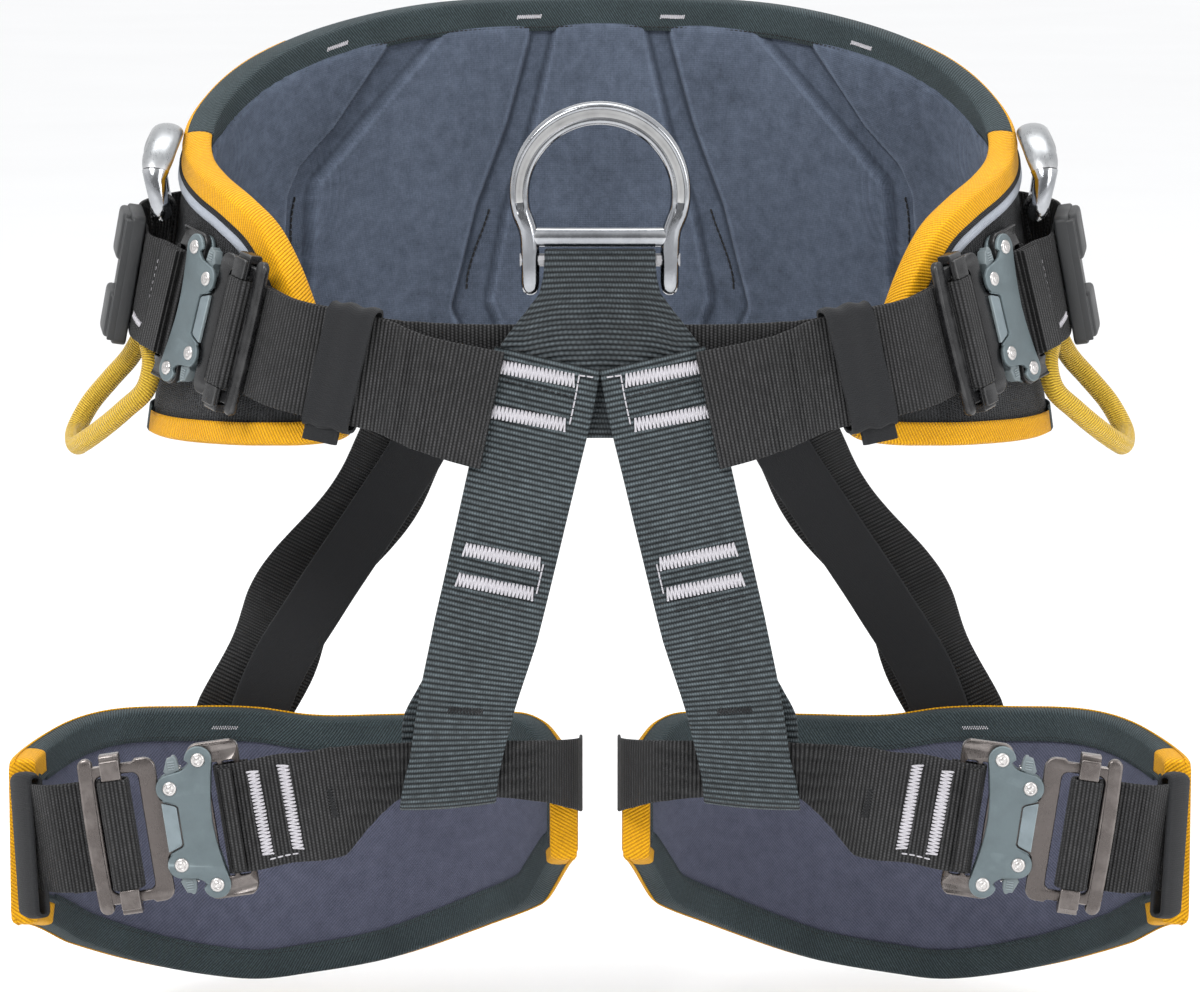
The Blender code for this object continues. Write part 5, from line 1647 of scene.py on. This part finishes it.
def build_ventral_ring():
    """Forged D-ring: arch grooved on both faces, legs that draw in and end round, and a round crossbar."""
    depth = JOINTS["ventral_ring_swing"]["pos_m"][1]
    half = []
    for step in range(ARCH_STEPS + 1):
        turn = math.radians(90 - ARCH_TURN * step / ARCH_STEPS)
        outer = Vector((0.0360 * math.cos(turn), 0.0270 + 0.0360 * math.sin(turn)))
        inner = Vector((0.0280 * math.cos(turn), 0.0255 + 0.0280 * math.sin(turn)))
        groove = 1.0 if step < ARCH_STEPS - 1 else 0.35 * (ARCH_STEPS + 1 - step) / 2
        half.append(((outer + inner) / 2, (outer - inner).length / 2, 0.0042, groove))
    for x, z, half_width, half_thickness in [
            (0.0302, 0.0163, 0.0039, 0.0042), (0.0288, 0.0128, 0.0038, 0.0042),
            (0.0280, 0.0090, 0.0038, 0.0042),
            (0.0278, 0.0040, 0.0038, 0.0042), (0.0277, -0.0030, 0.0037, 0.0042),
            (0.0277, -0.0090, 0.0037, 0.0042),
            (0.0277, -0.0112, 0.0034, 0.0038), (0.0277, -0.0128, 0.0026, 0.0029),
            (0.0277, -0.0137, 0.0015, 0.0016),
            (0.0277, -0.0140, 0.0003, 0.0003)]:
        half.append((Vector((x, z)), half_width, half_thickness, 0.0))
    mirrored = [(Vector((-centre.x, centre.y)), a, b, c) for centre, a, b, c in half[:0:-1]]
    whole = mirrored + half
    centres = [row[0] for row in whole]
    outwards = []
    for before, after in zip(centres[:1] + centres, centres[1:] + centres[-1:]):
        heading = (after - before).normalized()
        outwards.append(Vector((-heading.y, heading.x)))
    rings = []
    along = [0.0]
    for (centre, half_width, half_thickness, groove), outward in zip(whole, outwards):
        ring = []
        for across, out in ring_section(half_width, half_thickness, groove):
            spot = centre + outward * across
            ring.append(Vector((spot.x, depth - out, spot.y)))
        rings.append(ring)
    for before, after in zip(centres, centres[1:]):
        along.append(along[-1] + (after - before).length)
    around = [0.001 * number for number in range(len(rings[0]) + 1)]
    forged = skin_mesh("forged_ring", rings, along, around, True, True, 48.0)
    bar = tube_mesh("bar", [(x, depth, 0.0090) for x in (-0.0262, -0.0245, 0.0, 0.0245, 0.0262)], 0.0038, 28)
    for mesh in (forged, bar):
        weld(mesh)
    add_piece("forged_ring", [forged, bar], "polished", "polished_aluminium", ["ventral_ring"],
              "ventral_ring")
    strips = []
    for face in (1, -1):
        rows = []
        distances = []
        for number, ((centre, half_width, _, groove), outward) in enumerate(zip(whole, outwards)):
            if groove < 1.0:
                continue
            row = []
            for share in (-0.33, 0.0, 0.33):
                spot = centre + outward * (half_width * share)
                row.append(Vector((spot.x, depth - face * 0.00250, spot.y)))
            rows.append(row)
            distances.append(0.0025 * number)
        strips.append(thickened(skin_mesh("strip", rows, distances, [0.0, 0.0015, 0.003], False, False),
                                0.0003))
    add_piece("ring_groove", strips, "groove", "polished_aluminium", body="ventral_ring")


def build_side_ring(side_name, side):
    """Side D-ring: a broad satin crown forged out of polished round feet."""
    span = 0.0280
    corner = 0.0050
    height = 0.0315
    flat = arc((span - corner, corner), corner, -90, 0, 5)
    flat += arc((0.0, height * 0.42), span, 8, 172, 30)
    flat += arc((-span + corner, corner), corner, 180, 270, 5)
    place = side_frame(SIDE_RING, side)
    upwards = height_sign(place)
    rise = height / (height * 0.42 + span)
    outward = place.to_3x3().col[2].normalized()
    route = []
    factors = []
    for along, level in flat:
        lift = rise * level
        share = min(1.0, max(0.0, (lift / height - 0.30) / 0.45))
        swell = share * share * (3 - 2 * share)
        route.append(place @ Vector((along, lift * upwards,
                                     0.0040 * math.sin(math.pi * min(1.0, lift / height)))))
        factors.append(1.0 + 0.75 * swell)
    first = 9
    last = len(route) - first
    crown = tube_mesh("crown", route[first - 1:last + 1], 0.0038, 20, False,
                      (outward, factors[first - 1:last + 1]))
    foot_route = route[last:] + [place @ Vector((0.0, 0.0, 0.0))] + route[:first]
    foot = tube_mesh("foot", foot_route, 0.0040, 20, False,
                     (outward, factors[last:] + [1.0] + factors[:first]))
    body = "side_ring_" + side_name
    add_piece("ring_crown_" + side_name, crown, "satin", "polished_aluminium", [body], body)
    add_piece("ring_foot_" + side_name, foot, "polished", "polished_aluminium", body=body)


def build_gear_loop(side_name, side):
    """Braided cord loop that hangs outwards under the tool plate."""
    points = [Vector(point) for point in [
        (0.1880, -0.0240, -0.0440), (0.1862, -0.0300, -0.0530), (0.1885, -0.0320, -0.0625),
        (0.1975, -0.0300, -0.0715),
        (0.2080, -0.0250, -0.0805), (0.2165, -0.0170, -0.0870), (0.2205, -0.0060, -0.0895),
        (0.2215, 0.0040, -0.0855),
        (0.2160, 0.0095, -0.0745), (0.2065, 0.0105, -0.0630), (0.1985, 0.0095, -0.0540),
        (0.1935, 0.0060, -0.0455)]]
    place_at = smooth_path([mirror_point(point, side) for point in points])
    positions, _ = even_steps(place_at, len(points) - 1, 0.0014)
    route = [place_at(position) for position in positions]
    outward = Vector((side * 0.6, 0.0, -0.8)).normalized()
    cord = tube_mesh("cord_loop_" + side_name, route, 0.0043, 20, False, (outward, [0.86] * len(route)))
    body = "gear_loop_" + side_name
    add_piece("cord_loop_" + side_name, cord, "cord", "gear_loop_cord", [body], body)


def build_tool_plate(side_name, side):
    """Moulded plate: a flat base with a thin rail along its front and two chamfered pads."""
    place = side_frame(TOOL_PLATE, side)
    up = height_sign(place)
    meshes = [plate_mesh("base", rounded_box((-0.0120, -0.0280), (0.0120, 0.0280), 0.0030, 6), [], 0.0060,
                         0.0010, place, 0.0048)]
    for low, high in ((0.0068, 0.0272), (-0.0272, -0.0068)):
        bounds = sorted((low * up, high * up))
        outline = rounded_box((-0.0062, bounds[0]), (0.0112, bounds[1]), 0.0034, 6)
        meshes.append(plate_mesh("pad", outline, [], 0.0070, 0.0016, place, 0.0075))
        rib = rounded_box((-0.0086, bounds[0] + 0.0015), (-0.0060, bounds[1] - 0.0015), 0.0006, 3)
        meshes.append(plate_mesh("rib", rib, [], 0.0036, 0.0005, place, 0.0082))
    rail = rounded_box((-0.0119, -0.0262), (-0.0101, 0.0262), 0.0007, 3)
    meshes.append(plate_mesh("rail", rail, [], 0.0045, 0.0005, place, 0.0078))
    add_piece("tool_moulding_" + side_name, meshes, "tool", "tool_plastic", ["tool_plate_" + side_name])


# ---------------------------------------------------------------- stage, light and camera
FLOOR_HALF_SIZE = 40.0
FLOOR_GAP = 0.012
PAPER_SHADES = ((0.90, 0.90, 0.90), (0.94, 0.94, 0.94))
SKY_COLOUR = (0.985, 0.99, 1.0, 1.0)
# name, place, target, width and height, power in watts
SOFTBOXES = [
    ("key_light", (-0.9, -1.6, 1.3), (0.0, 0.0, -0.05), (0.9, 0.7), 30.0),
    ("fill_light", (1.3, -1.4, 0.5), (0.0, 0.0, -0.1), (0.8, 1.0), 12.0),
    ("top_light", (0.0, 0.3, 1.6), (0.0, 0.0, 0.0), (1.4, 1.0), 16.0),
]


def aim(thing, place, target):
    thing.location = place
    thing.rotation_euler = (Vector(target) - Vector(place)).to_track_quat("-Z", "Y").to_euler()


def build_stage():
    low = CAD_BOUNDS[0][2] - FLOOR_GAP
    floor = bpy.data.meshes.new("studio_floor")
    corners = [(x * FLOOR_HALF_SIZE, y * FLOOR_HALF_SIZE, low) for x,
               y in ((-1, -1), (1, -1), (1, 1), (-1, 1))]
    floor.from_pydata(corners, [], [(0, 1, 2, 3)])
    ground = add_object("studio_floor", floor)
    look = Look("studio_paper", 0.9)
    place, _, _ = look.place("Object")
    look.set("Base Color", look.mixed(look.noise(place, 3.0, 2.0), *PAPER_SHADES))
    floor.materials.append(look.material)


def build_world():
    """Even white surroundings, dimmer in front of the saddle than behind the viewer."""
    world = bpy.data.worlds.new("studio_world")
    bpy.context.scene.world = world
    world.use_nodes = True
    tree = world.node_tree
    split = tree.nodes.new("ShaderNodeSeparateXYZ")
    tree.links.new(tree.nodes.new("ShaderNodeTexCoord").outputs["Generated"], split.inputs[0])
    front = tree.nodes.new("ShaderNodeMapRange")
    for socket, value in (("From Min", -0.92), ("From Max", -0.45), ("To Min", 0.40), ("To Max", 1.12)):
        front.inputs[socket].default_value = value
    tree.links.new(split.outputs["Y"], front.inputs["Value"])
    backdrop = tree.nodes["Background"]
    backdrop.inputs["Color"].default_value = SKY_COLOUR
    tree.links.new(front.outputs["Result"], backdrop.inputs["Strength"])


def build_lights():
    for name, place, target, size, power in SOFTBOXES:
        light = bpy.data.lights.new(name, "AREA")
        light.shape = "RECTANGLE"
        light.size, light.size_y = size
        light.energy = power
        aim(add_object(name, light), place, target)


def build_camera():
    tilt = math.radians(CAMERA_ELEVATION)
    camera = bpy.data.cameras.new("camera")
    camera.lens = CAMERA_LENS
    camera.sensor_width = 36.0
    viewer = add_object("camera", camera)
    back = Vector((0.0, -math.cos(tilt), math.sin(tilt))) * CAMERA_DISTANCE
    aim(viewer, CAMERA_TARGET + back, CAMERA_TARGET)
    bpy.context.scene.camera = viewer


bpy.context.scene.view_settings.view_transform = "Standard"
for build in (build_camera, build_world, build_lights, build_stage, build_waist_belt, build_waist_webbing,
              build_tie_in_loop, build_ventral_ring):
    build()
# The ring's pin gets the dark steel as painted shade inside the webbing loop.
pin_materials = frame["nodes"]["ventral_ring_pin"].data.materials
pin_materials.clear()
pin_materials.append(LOOKS["steel"])
for side_name, side in SIDES.items():
    for build in (build_leg_pad, build_front_strap, build_strap_keeper, build_riser, build_leg_straps,
                  build_leg_sleeve, build_rear_straps, build_side_ring_loop, build_side_ring, build_gear_loop,
                  build_tool_plate):
        build(side_name, side)
    for group, place in (("waist", WAIST_BUCKLE), ("leg", LEG_BUCKLE)):
        build_buckle(group, side_name, side_frame(place, side))
